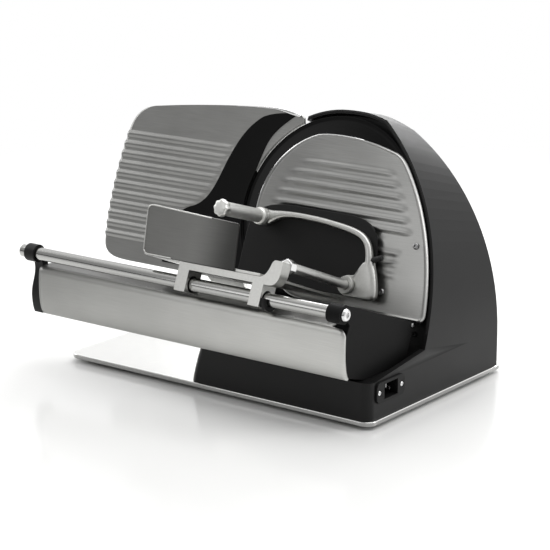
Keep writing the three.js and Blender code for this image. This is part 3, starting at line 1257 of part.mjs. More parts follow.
for (const [place, [across, up]] of Object.entries(pinPlaces)) {
  const y = INLET_Y + across * INLET_PIN_PITCH;
  const z = INLET_Z + up * (pinTall / 2);
  const pin = block(
    socketFloor + SEAT, socketFloor + pinLong, y - pinThin / 2, y + pinThin / 2, z - pinTall / 2, z + pinTall / 2,
  );
  addPart(machine, `inlet_pin_${place}`, pin, steel);
}
for (const [place, side] of [['front', -1], ['rear', 1]]) {
  const screw = barX(
    INLET_SCREW_R, screwSink + SEAT, flangeFace, INLET_Y + (side * INLET_SCREW_PITCH) / 2, INLET_Z, 20,
  );
  addPart(machine, `inlet_screw_${place}`, screw, steel);
}

// Start and stop buttons in a bezel on the left wall, with the switch behind it
const bezelOut = HOUSING_LEFT - BEZEL_THICK;
const buttonYs = { stop: BUTTON_Y - BUTTON_PITCH / 2, start: BUTTON_Y + BUTTON_PITCH / 2 };
const holeR = BUTTON_R + RUN;
const bezelReach = holeR + BEZEL_MARGIN;
const bezelShape = roundedRect(
  buttonYs.stop - bezelReach, BUTTON_Z - bezelReach, buttonYs.start + bezelReach, BUTTON_Z + bezelReach, 5,
);
const buttonHoles = (x0, x1) => Object.values(buttonYs).map((y) => barX(holeR, x0, x1, y, BUTTON_Z, 20));
addPart(
  machine, 'button_bezel',
  cut(union(slabYZ(bezelShape, bezelOut, HOUSING_LEFT, 4)), ...buttonHoles(bezelOut - 1, HOUSING_LEFT + 1)),
  blackPlastic,
);
const buttonIn = wallIn + 2;
const switchNear = wallIn + SEAT;
addPart(
  machine, 'switch',
  cut(
    union(block(
      switchNear, switchNear + SWITCH_DEEP, buttonYs.stop - bezelReach, buttonYs.start + bezelReach,
      BUTTON_Z - holeR - 2, BUTTON_Z + holeR + 2,
    )),
    ...buttonHoles(switchNear - 1, buttonIn + BUTTON_TRAVEL + SEAT),
  ),
  blackPlastic,
);
for (const [name, y] of Object.entries(buttonYs)) {
  const colour = name === 'stop' ? stopRed : blackPlastic;
  addPart(machine, `${name}_button`, barX(BUTTON_R, bezelOut - BUTTON_PROUD, buttonIn, y, BUTTON_Z, 20), colour);
}

const slicer = new THREE.Group();
slicer.add(machine);
slicer.updateMatrixWorld(true);

export default slicer;
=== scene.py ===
# %% [markdown]
# # A leaning food slicer, dressed for the studio
# The solids arrive already sized and jointed. This lesson gives them their looks: rolled and ribbed
# aluminium sheet, a dark ground blade, chrome bars and a satin black housing. The solids are fixed,
# so each new surface is worked out in the same frame and then takes the place of its solid.

# %% Load the solids and keep their box
import json
import math

import bmesh
import bpy
import numpy as np
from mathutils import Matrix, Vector

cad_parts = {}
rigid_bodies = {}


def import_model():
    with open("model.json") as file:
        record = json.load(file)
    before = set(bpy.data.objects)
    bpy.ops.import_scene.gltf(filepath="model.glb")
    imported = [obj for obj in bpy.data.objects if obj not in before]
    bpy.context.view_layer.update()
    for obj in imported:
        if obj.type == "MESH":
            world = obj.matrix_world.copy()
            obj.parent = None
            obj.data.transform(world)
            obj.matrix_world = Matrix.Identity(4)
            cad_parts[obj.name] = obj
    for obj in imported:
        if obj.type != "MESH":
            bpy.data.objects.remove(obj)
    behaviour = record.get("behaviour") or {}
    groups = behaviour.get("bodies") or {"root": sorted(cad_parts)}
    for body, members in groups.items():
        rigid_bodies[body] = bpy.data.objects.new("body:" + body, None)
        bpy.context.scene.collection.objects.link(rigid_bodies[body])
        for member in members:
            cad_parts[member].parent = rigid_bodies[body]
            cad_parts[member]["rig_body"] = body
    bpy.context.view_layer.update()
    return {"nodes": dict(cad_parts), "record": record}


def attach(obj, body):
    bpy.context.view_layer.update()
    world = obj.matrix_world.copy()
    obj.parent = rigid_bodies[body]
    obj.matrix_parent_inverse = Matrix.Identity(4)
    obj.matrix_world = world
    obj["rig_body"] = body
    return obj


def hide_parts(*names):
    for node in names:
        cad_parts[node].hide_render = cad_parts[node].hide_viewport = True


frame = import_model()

scene = bpy.context.scene
scene.view_settings.view_transform = "Standard"

# %% [markdown]
# ## The leaning frame
# The blade leans back by 22 degrees, and the gauge, cover, tray and pusher are all drawn in its frame:
# x along the rail, u square into the blade and w up its face. One function turns such points, in
# millimetres, into metres in the world, so every surface below can be written in the machine's own terms.

# %% Leaning coordinates
MM = 0.001
TILT = math.radians(22)
BLADE_CENTRE = np.array([71.0, 37.4, 172.5])


def lean(x, u, w):
    """Points (x, u, w) about the blade's centre, in mm: y is u cos t + w sin t and z is w cos t - u sin t."""
    x, u, w = np.broadcast_arrays(np.asarray(x, float), u, w)
    y = u * math.cos(TILT) + w * math.sin(TILT)
    z = w * math.cos(TILT) - u * math.sin(TILT)
    return (np.stack([x, y, z], -1) + BLADE_CENTRE) * MM


def upright(x, y, z):
    """Points (x, y, z) about the blade's centre with no lean, in mm, as world points in metres."""
    return (np.stack(np.broadcast_arrays(np.asarray(x, float), y, z), -1) + BLADE_CENTRE) * MM


print("blade centre in metres:", lean(0, 0, 0))

# %% [markdown]
# ## From a grid of points to a piece
# A surface is an array of rows and columns. The quads come from index arithmetic on whole arrays, a row
# can close on itself, and the first and last rows can be filled with one face each. Normals are then
# turned outwards, and the piece is tied to the body that carries it.

# %% Grid to mesh
SHARP = math.radians(32)


def skin(name, points, around=True, caps=True):
    """A quad mesh over a grid: corner (i, j) joins (i, j + 1), (i + 1, j + 1) and (i + 1, j)."""
    rows, cols = points.shape[:2]
    i, j = np.meshgrid(np.arange(rows - 1), np.arange(cols if around else cols - 1), indexing="ij")
    k = (j + 1) % cols
    quads = np.stack([i * cols + j, i * cols + k, (i + 1) * cols + k, (i + 1) * cols + j], -1)
    faces = quads.reshape(-1, 4).tolist()
    if caps:
        faces += [list(range(cols))[::-1], list(range((rows - 1) * cols, rows * cols))]
    mesh = bpy.data.meshes.new(name)
    mesh.from_pydata(points.reshape(-1, 3).tolist(), [], faces)
    return settle(name, mesh)


def settle(name, mesh):
    """Welds the mesh, turns its faces outwards and shades it smooth except across sharp edges."""
    work = bmesh.new()
    work.from_mesh(mesh)
    bmesh.ops.remove_doubles(work, verts=work.verts, dist=1e-6)
    bmesh.ops.recalc_face_normals(work, faces=work.faces)
    if work.calc_volume(signed=True) < 0:
        bmesh.ops.reverse_faces(work, faces=work.faces)
    work.to_mesh(mesh)
    work.free()
    mesh.polygons.foreach_set("use_smooth", np.ones(len(mesh.polygons), bool))
    mesh.set_sharp_from_angle(angle=SHARP)
    made = bpy.data.objects.new(name, mesh)
    scene.collection.objects.link(made)
    return made


print("sharp edges from", round(math.degrees(SHARP)), "degrees")


def body_of(node):
    """The name of the body that carries a solid."""
    return frame["nodes"][node]["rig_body"]


def fit(piece, node, finish):
    """Puts a finished piece in a solid's place: same body, one slot with its own finish, and the solid
    hidden.
    """
    piece.data.materials.clear()
    piece.data.materials.append(finish)
    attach(piece, body_of(node))
    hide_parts(node)
    return piece


def add_on(piece, body, finish):
    """A small extra piece that stands for no solid."""
    piece.data.materials.append(finish)
    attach(piece, body)
    return piece


# %% [markdown]
# ## Finishes
# Every finish starts from what the real surface is. A material is one Principled shader whose fixed
# numbers sit on its own sockets; only what varies over the surface is wired. Patterns read Object
# coordinates, which are metres here, so a scale is simply one over the real size.

# %% Colours
def linear(code):
    """An sRGB hex value as linear light: v / 12.92 where dark, else ((v + 0.055) / 1.055) to the 2.4."""
    part = np.array([int(code[i:i + 2], 16) for i in (1, 3, 5)]) / 255
    low, high = part / 12.92, ((part + 0.055) / 1.055) ** 2.4
    return (*np.where(part <= 0.04045, low, high), 1.0)


print("white is", linear("#ffffff"))

# %% Nodes
def add(tree, kind, sockets=None, **settings):
    """Adds one node: settings are its attributes, and a socket takes a value or another node's output."""
    made = tree.nodes.new(kind)
    for key, value in settings.items():
        setattr(made, key, value)
    for key, value in (sockets or {}).items():
        if isinstance(value, bpy.types.NodeSocket):
            tree.links.new(value, made.inputs[key])
        else:
            made.inputs[key].default_value = value
    return made


def start(name, base, roughness, metallic=0.0, **sockets):
    """An empty material with one Principled shader; returns its tree, shader and Object coordinates."""
    made = bpy.data.materials.new(name)
    made.use_nodes = True
    tree = made.node_tree
    shader = tree.nodes["Principled BSDF"]
    fixed = {"Base Color": linear(base), "Roughness": roughness, "Metallic": metallic, **sockets}
    for key, value in fixed.items():
        shader.inputs[key].default_value = value
    where = add(tree, "ShaderNodeTexCoord").outputs["Object"]
    made.diffuse_color = linear(base)
    return made, tree, shader, where


def vary(tree, shader, socket, fac, low, high):
    """Spreads a 0 to 1 pattern between two values of a socket: colours as hex, numbers as numbers."""
    if isinstance(low, str):
        mix = add(tree, "ShaderNodeMix", data_type="RGBA")
        mix.inputs[6].default_value, mix.inputs[7].default_value = linear(low), linear(high)
        tree.links.new(fac, mix.inputs[0])
        tree.links.new(mix.outputs[2], shader.inputs[socket])
    else:
        spread = add(tree, "ShaderNodeMapRange", {"Value": fac, "To Min": low, "To Max": high})
        tree.links.new(spread.outputs[0], shader.inputs[socket])


print("a finish is started by start(), filled by add() and spread by vary()")

# %% [markdown]
# ### Brushed aluminium sheet
# The gauge, cover, apron and guard are sheet aluminium brushed along the rail. Brushing leaves long
# scratches a few hundredths of a millimetre wide. They are too fine to show here, so they are drawn about
# half a millimetre wide and many times longer, as a gentle change of roughness and tone.

# %% Brushed aluminium
# In a metre of sheet: streaks 25 mm long, streaks 0.59 mm wide and clouds 71 mm across.
PER_LENGTH, PER_WIDTH, PER_CLOUD = 40, 1700, 14.0


def brushed_aluminium(name, tone_low, tone_high, rough, shaded_x, lit_x, shade_tone):
    """Noise stretched along x into streaks, and a painted shade that darkens the tone towards the shaded x,
    in metres.
    """
    made, tree, shader, where = start(name, tone_high, rough, 1.0)
    stretch = add(tree, "ShaderNodeMapping", {"Vector": where, "Scale": (PER_LENGTH, PER_WIDTH, PER_WIDTH)})
    streak = add(tree, "ShaderNodeTexNoise", {"Vector": stretch.outputs[0], "Scale": 1.0, "Detail": 3.0})
    cloud = add(tree, "ShaderNodeTexNoise", {"Vector": where, "Scale": PER_CLOUD, "Detail": 2.0})
    both = add(tree, "ShaderNodeMath", {0: streak.outputs[0], 1: cloud.outputs[0]}, operation="MULTIPLY")
    sharper = add(tree, "ShaderNodeMapRange", {"Value": both.outputs[0], "From Min": 0.12, "From Max": 0.42})
    tone = add(tree, "ShaderNodeMix", {0: sharper.outputs[0]}, data_type="RGBA")
    tone.inputs[6].default_value, tone.inputs[7].default_value = linear(tone_low), linear(tone_high)
    # Painted shade: the tone is multiplied by a grey that falls from 1 at one x to the shade tone at the
    # other.
    axes = add(tree, "ShaderNodeSeparateXYZ", {0: where})
    shade_ramp = add(tree, "ShaderNodeMapRange", interpolation_type="SMOOTHSTEP",
                  sockets={"Value": axes.outputs["X"], "From Min": lit_x, "From Max": shaded_x})
    painted_shade_mix = add(tree, "ShaderNodeMix", {0: shade_ramp.outputs[0]}, data_type="RGBA", blend_type="MULTIPLY")
    painted_shade_mix.inputs[7].default_value = (shade_tone, shade_tone, shade_tone, 1)
    tree.links.new(tone.outputs[2], painted_shade_mix.inputs[6])
    tree.links.new(painted_shade_mix.outputs[2], shader.inputs["Base Color"])
    vary(tree, shader, "Roughness", streak.outputs[0], rough - 0.07, rough + 0.09)
    bump = add(tree, "ShaderNodeBump", {"Height": streak.outputs[0], "Distance": 0.04 * MM, "Strength": 0.35})
    tree.links.new(bump.outputs[0], shader.inputs["Normal"])
    return made


# Mid-grey sheet: a soft, even sheen that the ribs break into bands, and a slight painted shade towards the
# left.
sheet_aluminium = brushed_aluminium("brushed_aluminium", "#8c8c8a", "#989896", 0.34, -0.25, 0.0, 0.95)
# Satin sheet: paler and duller, so the bend shows as one slow change of tone, with a painted shade that
# darkens it towards the left.
apron_aluminium = brushed_aluminium("satin_aluminium", "#c5c5c2", "#d1d1ce", 0.42, -0.22, 0.16, 0.55)
# Bright sheet, with a painted shade that makes it greyer towards the left, so that the right reads as lit.
cover_aluminium = brushed_aluminium("bright_brushed_aluminium", "#a4a4a2", "#b4b4b2", 0.33, 0.0, 0.22, 0.64)
# Dark sheet, with a painted shade that darkens its right end beside the black pusher plate.
guard_aluminium = brushed_aluminium("guard_aluminium_painted_shade", "#70706e", "#7b7b79", 0.33, 0.075, 0.015, 0.25)
print(sheet_aluminium.name, apron_aluminium.name, guard_aluminium.name)

# %% [markdown]
# ### Buffed castings
# The carriage, the tray and the pusher's arm are aluminium castings, ground and buffed. An even grey would
# look like plastic. What is left of the casting skin shows as soft mottling some 3 mm wide and as faint pits,
# so two noises make the finish. At other sizes they also serve for plate, turned bar and steel.

# %% Buffed cast aluminium
def mottled_metal(name, tone_low, tone_high, rough, mottle=3.0):
    """Two noises: mottling of that size in mm, and pits a third of a millimetre wide in the relief."""
    made, tree, shader, where = start(name, tone_high, rough, 1.0)
    grain = add(tree, "ShaderNodeTexNoise", {"Vector": where, "Scale": 1000 / mottle, "Detail": 3.0})
    pits = add(tree, "ShaderNodeTexNoise", {"Vector": where, "Scale": 3000.0, "Detail": 1.0})
    vary(tree, shader, "Base Color", grain.outputs[0], tone_low, tone_high)
    vary(tree, shader, "Roughness", grain.outputs[0], rough - 0.06, rough + 0.08)
    bump = add(tree, "ShaderNodeBump", {"Height": pits.outputs[0], "Distance": 0.05 * MM, "Strength": 0.3})
    tree.links.new(bump.outputs[0], shader.inputs["Normal"])
    return made


# Buffed casting: pale, with broad soft highlights on every rounded edge.
buffed_casting = mottled_metal("buffed_cast_aluminium", "#b8b8b5", "#cececb", 0.34)
# Polished plate: close to a mirror, so it takes the tone of what stands over it.
plate_aluminium = mottled_metal("polished_plate_aluminium", "#efefed", "#f7f7f5", 0.14, 9.0)
# Satin bar and blasted cap: nearly white and matt, with no sharp reflection.
satin_bar = mottled_metal("satin_turned_aluminium", "#d4d4d1", "#e2e2df", 0.5, 5.0)
satin_cap = mottled_metal("bead_blasted_aluminium", "#d6d6d3", "#e6e6e3", 0.4, 2.0)


def painted_shade_by_height(made, low, high, tone_low, tone_high):
    """Painted shade: multiplies a finish's tone by a grey that runs from one value at low to another at high,
    in mm.
    """
    tree = made.node_tree
    height = add(tree, "ShaderNodeSeparateXYZ", {0: add(tree, "ShaderNodeTexCoord").outputs["Object"]})
    grey = add(tree, "ShaderNodeMapRange", {"Value": height.outputs["Z"], "From Min": low * MM,
                                            "From Max": high * MM, "To Min": tone_low, "To Max": tone_high})
    base = tree.nodes["Principled BSDF"].inputs["Base Color"]
    mixed = add(tree, "ShaderNodeMix", {0: 1.0}, data_type="RGBA", blend_type="MULTIPLY")
    tree.links.new(base.links[0].from_socket, mixed.inputs[6])
    tree.links.new(grey.outputs[0], mixed.inputs[7])
    tree.links.new(mixed.outputs[2], base)


# Painted shade: the plate's rim is darker below its top face, and the apron's top flange is darkened where
# the rail shades it.
PLATE_FACE, APRON_FACE = 9.0, 109.5
painted_shade_by_height(plate_aluminium, PLATE_FACE - 1.4, PLATE_FACE - 0.1, 0.42, 1.0)
painted_shade_by_height(apron_aluminium, APRON_FACE - 1.7, APRON_FACE - 0.3, 1.0, 0.3)
print(buffed_casting.name, plate_aluminium.name)

# %% [markdown]
# ### Chrome, blade steel and turned steel
# Chrome plate is nearly a mirror. The blade is ground in a circle and polished dark, so its fine lines
# run round the axis: the distance from the axis, taken in the blade's own plane, draws them.

# %% Plated and ground steel
# In a metre: wiped patches 17 mm across.
PER_WIPE = 60.0


def chrome_plate():
    """Mirror plate whose roughness drifts a little where hands have wiped it."""
    made, tree, shader, where = start("chrome_plate", "#dcdcdc", 0.07, 1.0)
    wiped = add(tree, "ShaderNodeTexNoise", {"Vector": where, "Scale": PER_WIPE, "Detail": 3.0})
    vary(tree, shader, "Roughness", wiped.outputs[0], 0.04, 0.13)
    vary(tree, shader, "Base Color", wiped.outputs[0], "#d0d0d0", "#e6e6e6")
    return made


def ground_steel(name, tone_low, tone_high, rough, spacing):
    """Grinding lines: noise of the distance from the blade's axis, one line for each spacing in mm."""
    made, tree, shader, where = start(name, tone_high, rough, 1.0)
    centre = (BLADE_CENTRE * MM).tolist()
    moved = add(tree, "ShaderNodeVectorMath", {0: where, 1: centre}, operation="SUBTRACT")
    flat = add(tree, "ShaderNodeVectorRotate", {"Vector": moved.outputs[0], "Angle": TILT},
               rotation_type="X_AXIS")
    axes = add(tree, "ShaderNodeSeparateXYZ", {0: flat.outputs[0]})
    disc = add(tree, "ShaderNodeCombineXYZ", {"X": axes.outputs[0], "Z": axes.outputs[2]})
    radius = add(tree, "ShaderNodeVectorMath", {0: disc.outputs[0]}, operation="LENGTH")
    lines = add(tree, "ShaderNodeTexNoise", noise_dimensions="1D",
                sockets={"W": radius.outputs["Value"], "Scale": 1000 / spacing, "Detail": 2.0})
    vary(tree, shader, "Base Color", lines.outputs[0], tone_low, tone_high)
    vary(tree, shader, "Roughness", lines.outputs[0], rough - 0.05, rough + 0.06)
    bump = add(tree, "ShaderNodeBump", {"Height": lines.outputs[0], "Distance": 0.03 * MM, "Strength": 0.25})
    tree.links.new(bump.outputs[0], shader.inputs["Normal"])
    return made


# Chrome: sharp bright lines on every round. Blade steel: a dark ring with a thin bright edge.
chrome = chrome_plate()
blade_steel = ground_steel("ground_blade_steel", "#151515", "#272727", 0.2, 0.8)
# Turned and ground steel: greyer than chrome, with softer lines along the bars.
turned_steel = mottled_metal("turned_steel", "#8a8a8a", "#a8a8a8", 0.3, 1.5)
ground_bar = mottled_metal("ground_bar_steel", "#dededc", "#ececea", 0.36, 1.2)
rail_steel = mottled_metal("ground_rail_steel", "#a2a2a0", "#b6b6b4", 0.1, 1.2)
print(chrome.name, blade_steel.name, turned_steel.name)

# %% [markdown]
# ### Black paint, plastics and rubber
# The housing is a casting with satin black enamel, which keeps a trace of orange peel about 1.5 mm
# wide. The caps and pusher plate are moulded plastic with a fine spark-eroded grain, the panel on the
# gauge is polished, and the feet are plain rubber.

# %% Dark finishes
# In a metre: patches of haze 56 mm across.
PER_HAZE = 18.0


def dark_finish(name, tone_low, tone_high, rough, grain, depth, spread=0.06, **sockets):
    """A wide haze varies tone and roughness, and noise of the grain's size makes the relief, both in mm."""
    made, tree, shader, where = start(name, tone_low, rough, 0.0, **sockets)
    peel = add(tree, "ShaderNodeTexNoise", {"Vector": where, "Scale": 1000 / grain, "Detail": 2.0})
    haze = add(tree, "ShaderNodeTexNoise", {"Vector": where, "Scale": PER_HAZE, "Detail": 3.0})
    vary(tree, shader, "Base Color", haze.outputs[0], tone_low, tone_high)
    vary(tree, shader, "Roughness", haze.outputs[0], rough - spread, rough + spread)
    bump = add(tree, "ShaderNodeBump", {"Height": peel.outputs[0], "Distance": depth * MM, "Strength": 0.4})
    tree.links.new(bump.outputs[0], shader.inputs["Normal"])
    return made


GLOSS = "Specular IOR Level"
# Enamel: black with a wide grey sheen on the dome. The matt coat on the bracket hardly shines.
black_enamel = dark_finish("satin_black_enamel", "#0b0b0b", "#121212", 0.42, 1.5, 0.03, **{GLOSS: 0.24})
matt_enamel = dark_finish("matt_black_enamel", "#0b0b0b", "#101010", 0.55, 1.0, 0.03, **{GLOSS: 0.1})
# Mouldings: a fine even grain with no reflection. The polished panel is the deepest black.
black_moulding = dark_finish("black_moulded_plastic", "#0c0c0c", "#141414", 0.5, 0.5, 0.04, **{GLOSS: 0.2})
black_panel = dark_finish(
    "polished_black_plastic", "#070707", "#0b0b0b", 0.3, 4.0, 0.005, 0.03, **{GLOSS: 0.1})
# Rubber is flat and dark grey, the stop button is the one spot of colour, and the motor and wheel are inside.
dark_rubber = dark_finish("black_rubber", "#161616", "#212121", 0.78, 0.4, 0.05)
red_button = dark_finish("red_button_plastic", "#8a1a18", "#9a2320", 0.4, 0.6, 0.03)
motor_paint = dark_finish("grey_motor_paint", "#53565a", "#63666a", 0.5, 1.0, 0.04, IOR=1.5)
wheel_bronze = mottled_metal("cut_bronze", "#94642c", "#b5823f", 0.35, 2.0)
print(black_enamel.name, black_moulding.name, black_panel.name)

# %% [markdown]
# ### Solids that stay as they are
# Inside pieces and plain plates keep their own solids, so they only need a finish. Each material slot
# of the record has one.

# %% Finishes for the solids
finish_of_slot = {
    "aluminium": buffed_casting, "brushed": sheet_aluminium, "chrome": chrome, "blade_steel": blade_steel,
    "steel": turned_steel, "black_paint": black_enamel, "black_plastic": black_moulding,
    "black_gloss": black_panel, "rubber": dark_rubber, "bronze": wheel_bronze, "motor_grey": motor_paint,
    "stop_red": red_button,
}
for part in frame["record"]["subparts"]:
    solid = frame["nodes"][part["node"]].data
    solid.materials.clear()
    solid.materials.append(finish_of_slot[part["material_slot"]])

# %% [markdown]
# ## Camera
# The photograph was taken from the front right, a little above, with a long lens: the base plate's
# edges and the blade's ellipse give 37 degrees round, 14.8 degrees up and a distance of 2.24 m.

# %% Camera
round_by, above_by, distance = math.radians(36.99), math.radians(14.8), 2.236
aim, lens_mm, film_mm = Vector((0.00134, 0.0374, 0.09493)), 132.2, 36
level_out = math.cos(above_by)
back = Vector((math.sin(round_by) * level_out, -math.cos(round_by) * level_out, math.sin(above_by)))
eye = bpy.data.objects.new("camera", bpy.data.cameras.new("camera"))
eye.data.lens, eye.data.sensor_width = lens_mm, film_mm
eye.location = aim + back * distance
eye.rotation_mode = "QUATERNION"
eye.rotation_quaternion = (-back).to_track_quat("-Z", "Y")
scene.collection.objects.link(eye)
scene.camera = eye
print("camera at", [round(v, 3) for v in eye.location])

# %% [markdown]
# ## The blade
# A ground disc: a flat hollow, a polished land, a bevel behind and a thin edge. Circles could be extruded one
# by one, but a lathe profile holds the whole section in one list: a row of radii and a row of depths, carried
# round the axis.

# %% Lathe
def turned(name, profile, place, sides, wave=None):
    """A lathe: each (radius, distance) goes round the axis, and wave scales the radius by the angle."""
    r, d = np.asarray(profile, float).T
    angle = np.linspace(0, 2 * math.pi, sides, endpoint=False)
    swell = np.ones(sides) if wave is None else wave(angle)
    r = r[:, None] * swell
    return skin(name, place(r * np.cos(angle), d[:, None], r * np.sin(angle)))


def along_u(x, w):
    """Places a lathe about an axis along u."""
    return lambda a, d, b: lean(a + x, d, b + w)


print("a point on the blade's axis:", along_u(0, 0)(0, 0, 0))

# %% Blade
blade_profile = [(7.4, 3.2), (60, 3.2), (86, 3.2), (88, 3.1), (96, 2.1), (104, 1.1), (109.2, 0.5), (110, 0.8),
                 (109.4, 1.25), (104, 2.9), (97, 5.1), (90, 5.2), (7.4, 5.2)]
blade = turned("blade_disc", blade_profile, along_u(0, 0), 240)
fit(blade, "blade", blade_steel)
print("blade corners:", len(blade.data.vertices))

# %% [markdown]
# ## Bars along a path
# Sheet metal is seldom left with a raw edge: it is rolled or beaded, and the roll catches the light as a thin
# bright line. A bevel could not swell along the edge, so a bead is a round section carried along a path. At
# each point two directions square to the path hold the circle.

# %% Bars along a path
def carried(name, path, radius, sides=10):
    """A round bar: each ring is a path point plus radius (first cos a + second sin a), square to the path."""
    path = np.asarray(path, float)
    ahead = np.gradient(path, axis=0)
    ahead /= np.linalg.norm(ahead, axis=1)[:, None]
    up = np.where(np.abs(ahead[:, [2]]) > 0.9, [[0, 1.0, 0]], [[0, 0, 1.0]])
    first = np.cross(ahead, up)
    first /= np.linalg.norm(first, axis=1)[:, None]
    second = np.cross(ahead, first)
    angle = np.linspace(0, 2 * math.pi, sides, endpoint=False)
    rings = path[:, None] + radius * (first[:, None] * np.cos(angle)[None, :, None]
                                      + second[:, None] * np.sin(angle)[None, :, None])
    return skin(name, rings)


print("sides of a bead:", carried.__defaults__[0])

# %% [markdown]
# ## Ribbed sheets
# The gauge plate and the cover are sheets pressed with ribs. A rib could be a bar laid on the sheet, but
# press marks blend into the metal, so a rib is one raised cosine wave in the sheet's height. A smooth mask
# lets it fade out where the sheet turns plain. Outlines are cubics that can be read level by level, and
# Solidify gives an open sheet its thickness.

# %% Ribs
RIB_PITCH = 11.8


def smooth(edge0, edge1, v):
    """The smoothstep 3 t t - 2 t t t of v between two edges."""
    t = np.clip((v - edge0) / (edge1 - edge0), 0, 1)
    return t * t * (3 - 2 * t)


def ribs(w, top, count, wide=9.6, high=1.4):
    """Raised cosines: high times ((1 + cos(2 pi d / wide)) / 2) to the power 0.8, d from the nearest rib."""
    index = np.clip(np.round((top - w) / RIB_PITCH), 0, count - 1)
    d = np.clip((w - (top - index * RIB_PITCH)) / wide, -0.5, 0.5)
    return high * (0.5 + 0.5 * np.cos(2 * math.pi * d)) ** 0.8


GAUGE_RIB_TOP, GAUGE_RIBS = 56.5, 11
print("rib height at its middle:", ribs(np.array([GAUGE_RIB_TOP]), GAUGE_RIB_TOP, GAUGE_RIBS))

# %% Outlines
HAIR = 1e-4


def bezier(points, count):
    """A cubic as count points: four control points weighted by the four terms of ((1 - t) + t) cubed."""
    t = np.linspace(0, 1, count)[:, None]
    p = np.asarray(points, float)
    return (1 - t) ** 3 * p[0] + 3 * t * (1 - t) ** 2 * p[1] + 3 * t ** 2 * (1 - t) * p[2] + t ** 3 * p[3]


def climbing(path):
    """The path with a hair's rise along it, so that points on a level run stay in order."""
    return path + np.linspace((0, 0), (0, HAIR), len(path))


def level_lines(path, w):
    """x of an outline at each level w, read off a path of (x, w) points that climbs steadily."""
    order = np.argsort(path[:, 1], kind="stable")
    return np.interp(w, path[order, 1], path[order, 0])


print("middle of a cubic:", bezier([(0, 0), (0, 1), (1, 1), (1, 0)], 3)[1])

# %% Sheets
def thicken(piece, mm):
    """Gives a sheet its thickness, away from the front face."""
    wall = piece.modifiers.new("wall", "SOLIDIFY")
    wall.thickness, wall.offset = mm * MM, -1
    return piece


def face_front(piece):
    """Turns every face of an open sheet towards the operator, so that its thickness grows backwards."""
    mesh = piece.data
    normal = np.zeros(len(mesh.polygons) * 3)
    mesh.polygons.foreach_get("normal", normal)
    if normal.reshape(-1, 3)[:, 1].mean() > 0:
        mesh.flip_normals()
    return piece


print("sheets face the operator and grow backwards")

# %% [markdown]
# ### The gauge plate
# The food rests against this plate before each slice, and the ribs keep it from sticking. Its left end is a
# tall rounded rectangle and its right end follows the blade. Each row of the grid is a level w that runs from
# the left outline to the right one, so the ribs, which follow w, run true along the rows. There are more rows
# where the outline turns. The top right corner is rolled, and the roll swells and dies away again.

# %% Gauge plate
GAUGE_LEFT, GAUGE_TOP, GAUGE_BOTTOM, EDGE_R = -301.5, 109.0, -89.0, 111.5
GAUGE_U, GAUGE_THICK, RIB_FADE = -1.0, 4.6, 7.0
LOW_TURN, HIGH_TURN = GAUGE_BOTTOM + 22, GAUGE_TOP - 16
left = GAUGE_LEFT
left_path = climbing(np.vstack([
    bezier([(left + 45, GAUGE_BOTTOM), (left + 18, GAUGE_BOTTOM), (left + 8, GAUGE_BOTTOM + 5),
            (left + 5.5, LOW_TURN)], 24),
    bezier([(left + 5.5, LOW_TURN), (left - 1.5, -30), (left - 1.5, 20), (left + 4, 63)], 40),
    bezier([(left + 4, 63), (left + 7, 84), (left + 22, 92), (left + 40, 93.5)], 24),
    bezier([(left + 40, 93.5), (left + 90, 101), (left + 160, 107), (-97, GAUGE_TOP)], 24),
]))
tip = bezier([(-97, GAUGE_TOP), (-84, GAUGE_TOP + 0.2), (-66, GAUGE_TOP - 1), (-58.5, GAUGE_TOP - 7)], 16)
arc = np.linspace(GAUGE_BOTTOM, 96, 80)
right_path = climbing(np.vstack([np.stack([-np.sqrt(EDGE_R ** 2 - arc ** 2), arc], 1), tip[::-1]]))
levels = np.concatenate([
    GAUGE_BOTTOM + (LOW_TURN - GAUGE_BOTTOM) * np.linspace(0, 1, 30, endpoint=False) ** 2,
    np.linspace(LOW_TURN, HIGH_TURN, 300, endpoint=False),
    GAUGE_TOP - (GAUGE_TOP - HIGH_TURN) * np.linspace(1, 0, 40) ** 2,
])
# The S where the ribs stop and the black panel starts, from the foot to the tip.
s_line = np.vstack([
    [(-208, -90), (-206, -83)],
    bezier([(-206, -83), (-206, -45), (-206, -24), (-184, -15.5)], 30),
    bezier([(-184, -15.5), (-160, -8), (-156, 14), (-147.5, 42.6)], 30)[1:],
    bezier([(-147.5, 42.6), (-141, 60), (-134, 82), (-112, 97)], 30)[1:],
    bezier([(-112, 97), (-100, 102.5), (-84, 104.8), (-66, 105)], 20)[1:],
])
share = np.linspace(0, 1, 90)
from_x, to_x = level_lines(left_path, levels), level_lines(right_path, levels)
sheet_x = from_x[:, None] + (to_x - from_x)[:, None] * share
stop = level_lines(s_line, levels)[:, None]
fade = smooth(0, RIB_FADE, stop - sheet_x)
sheet_u = GAUGE_U - ribs(levels[:, None], GAUGE_RIB_TOP, GAUGE_RIBS, high=1.7) * fade
gauge = face_front(skin("gauge_sheet", lean(sheet_x, sheet_u, levels[:, None]), around=False, caps=False))
fit(thicken(gauge, GAUGE_THICK), "gauge_plate", sheet_aluminium)
print("gauge sheet:", sheet_x.shape, "rows and columns")

# %% Rolled corner of the gauge
rolled = np.vstack([left_path[-9:], tip[1:-2]])
# The roll is a wire at both ends and 2.4 mm in radius where it is fullest.
swell = 0.4 + 2.0 * np.sin(np.linspace(0, 0.92, len(rolled)) ** 2 * math.pi)
lip = carried("gauge_lip", lean(rolled[:, 0], -1.4, rolled[:, 1] - swell), swell[:, None, None] * MM, 16)
add_on(lip, body_of("gauge_plate"), chrome)
print("rolled corner:", len(rolled), "points")

# %% [markdown]
# ### The black panel
# A polished plastic panel fills the S between the ribs and the blade and wraps round the sheet's inner edge,
# so no bright strip shows beside the blade. Each level is one closed section: the front face from the S to
# the inner edge, round that edge, and back behind the face.

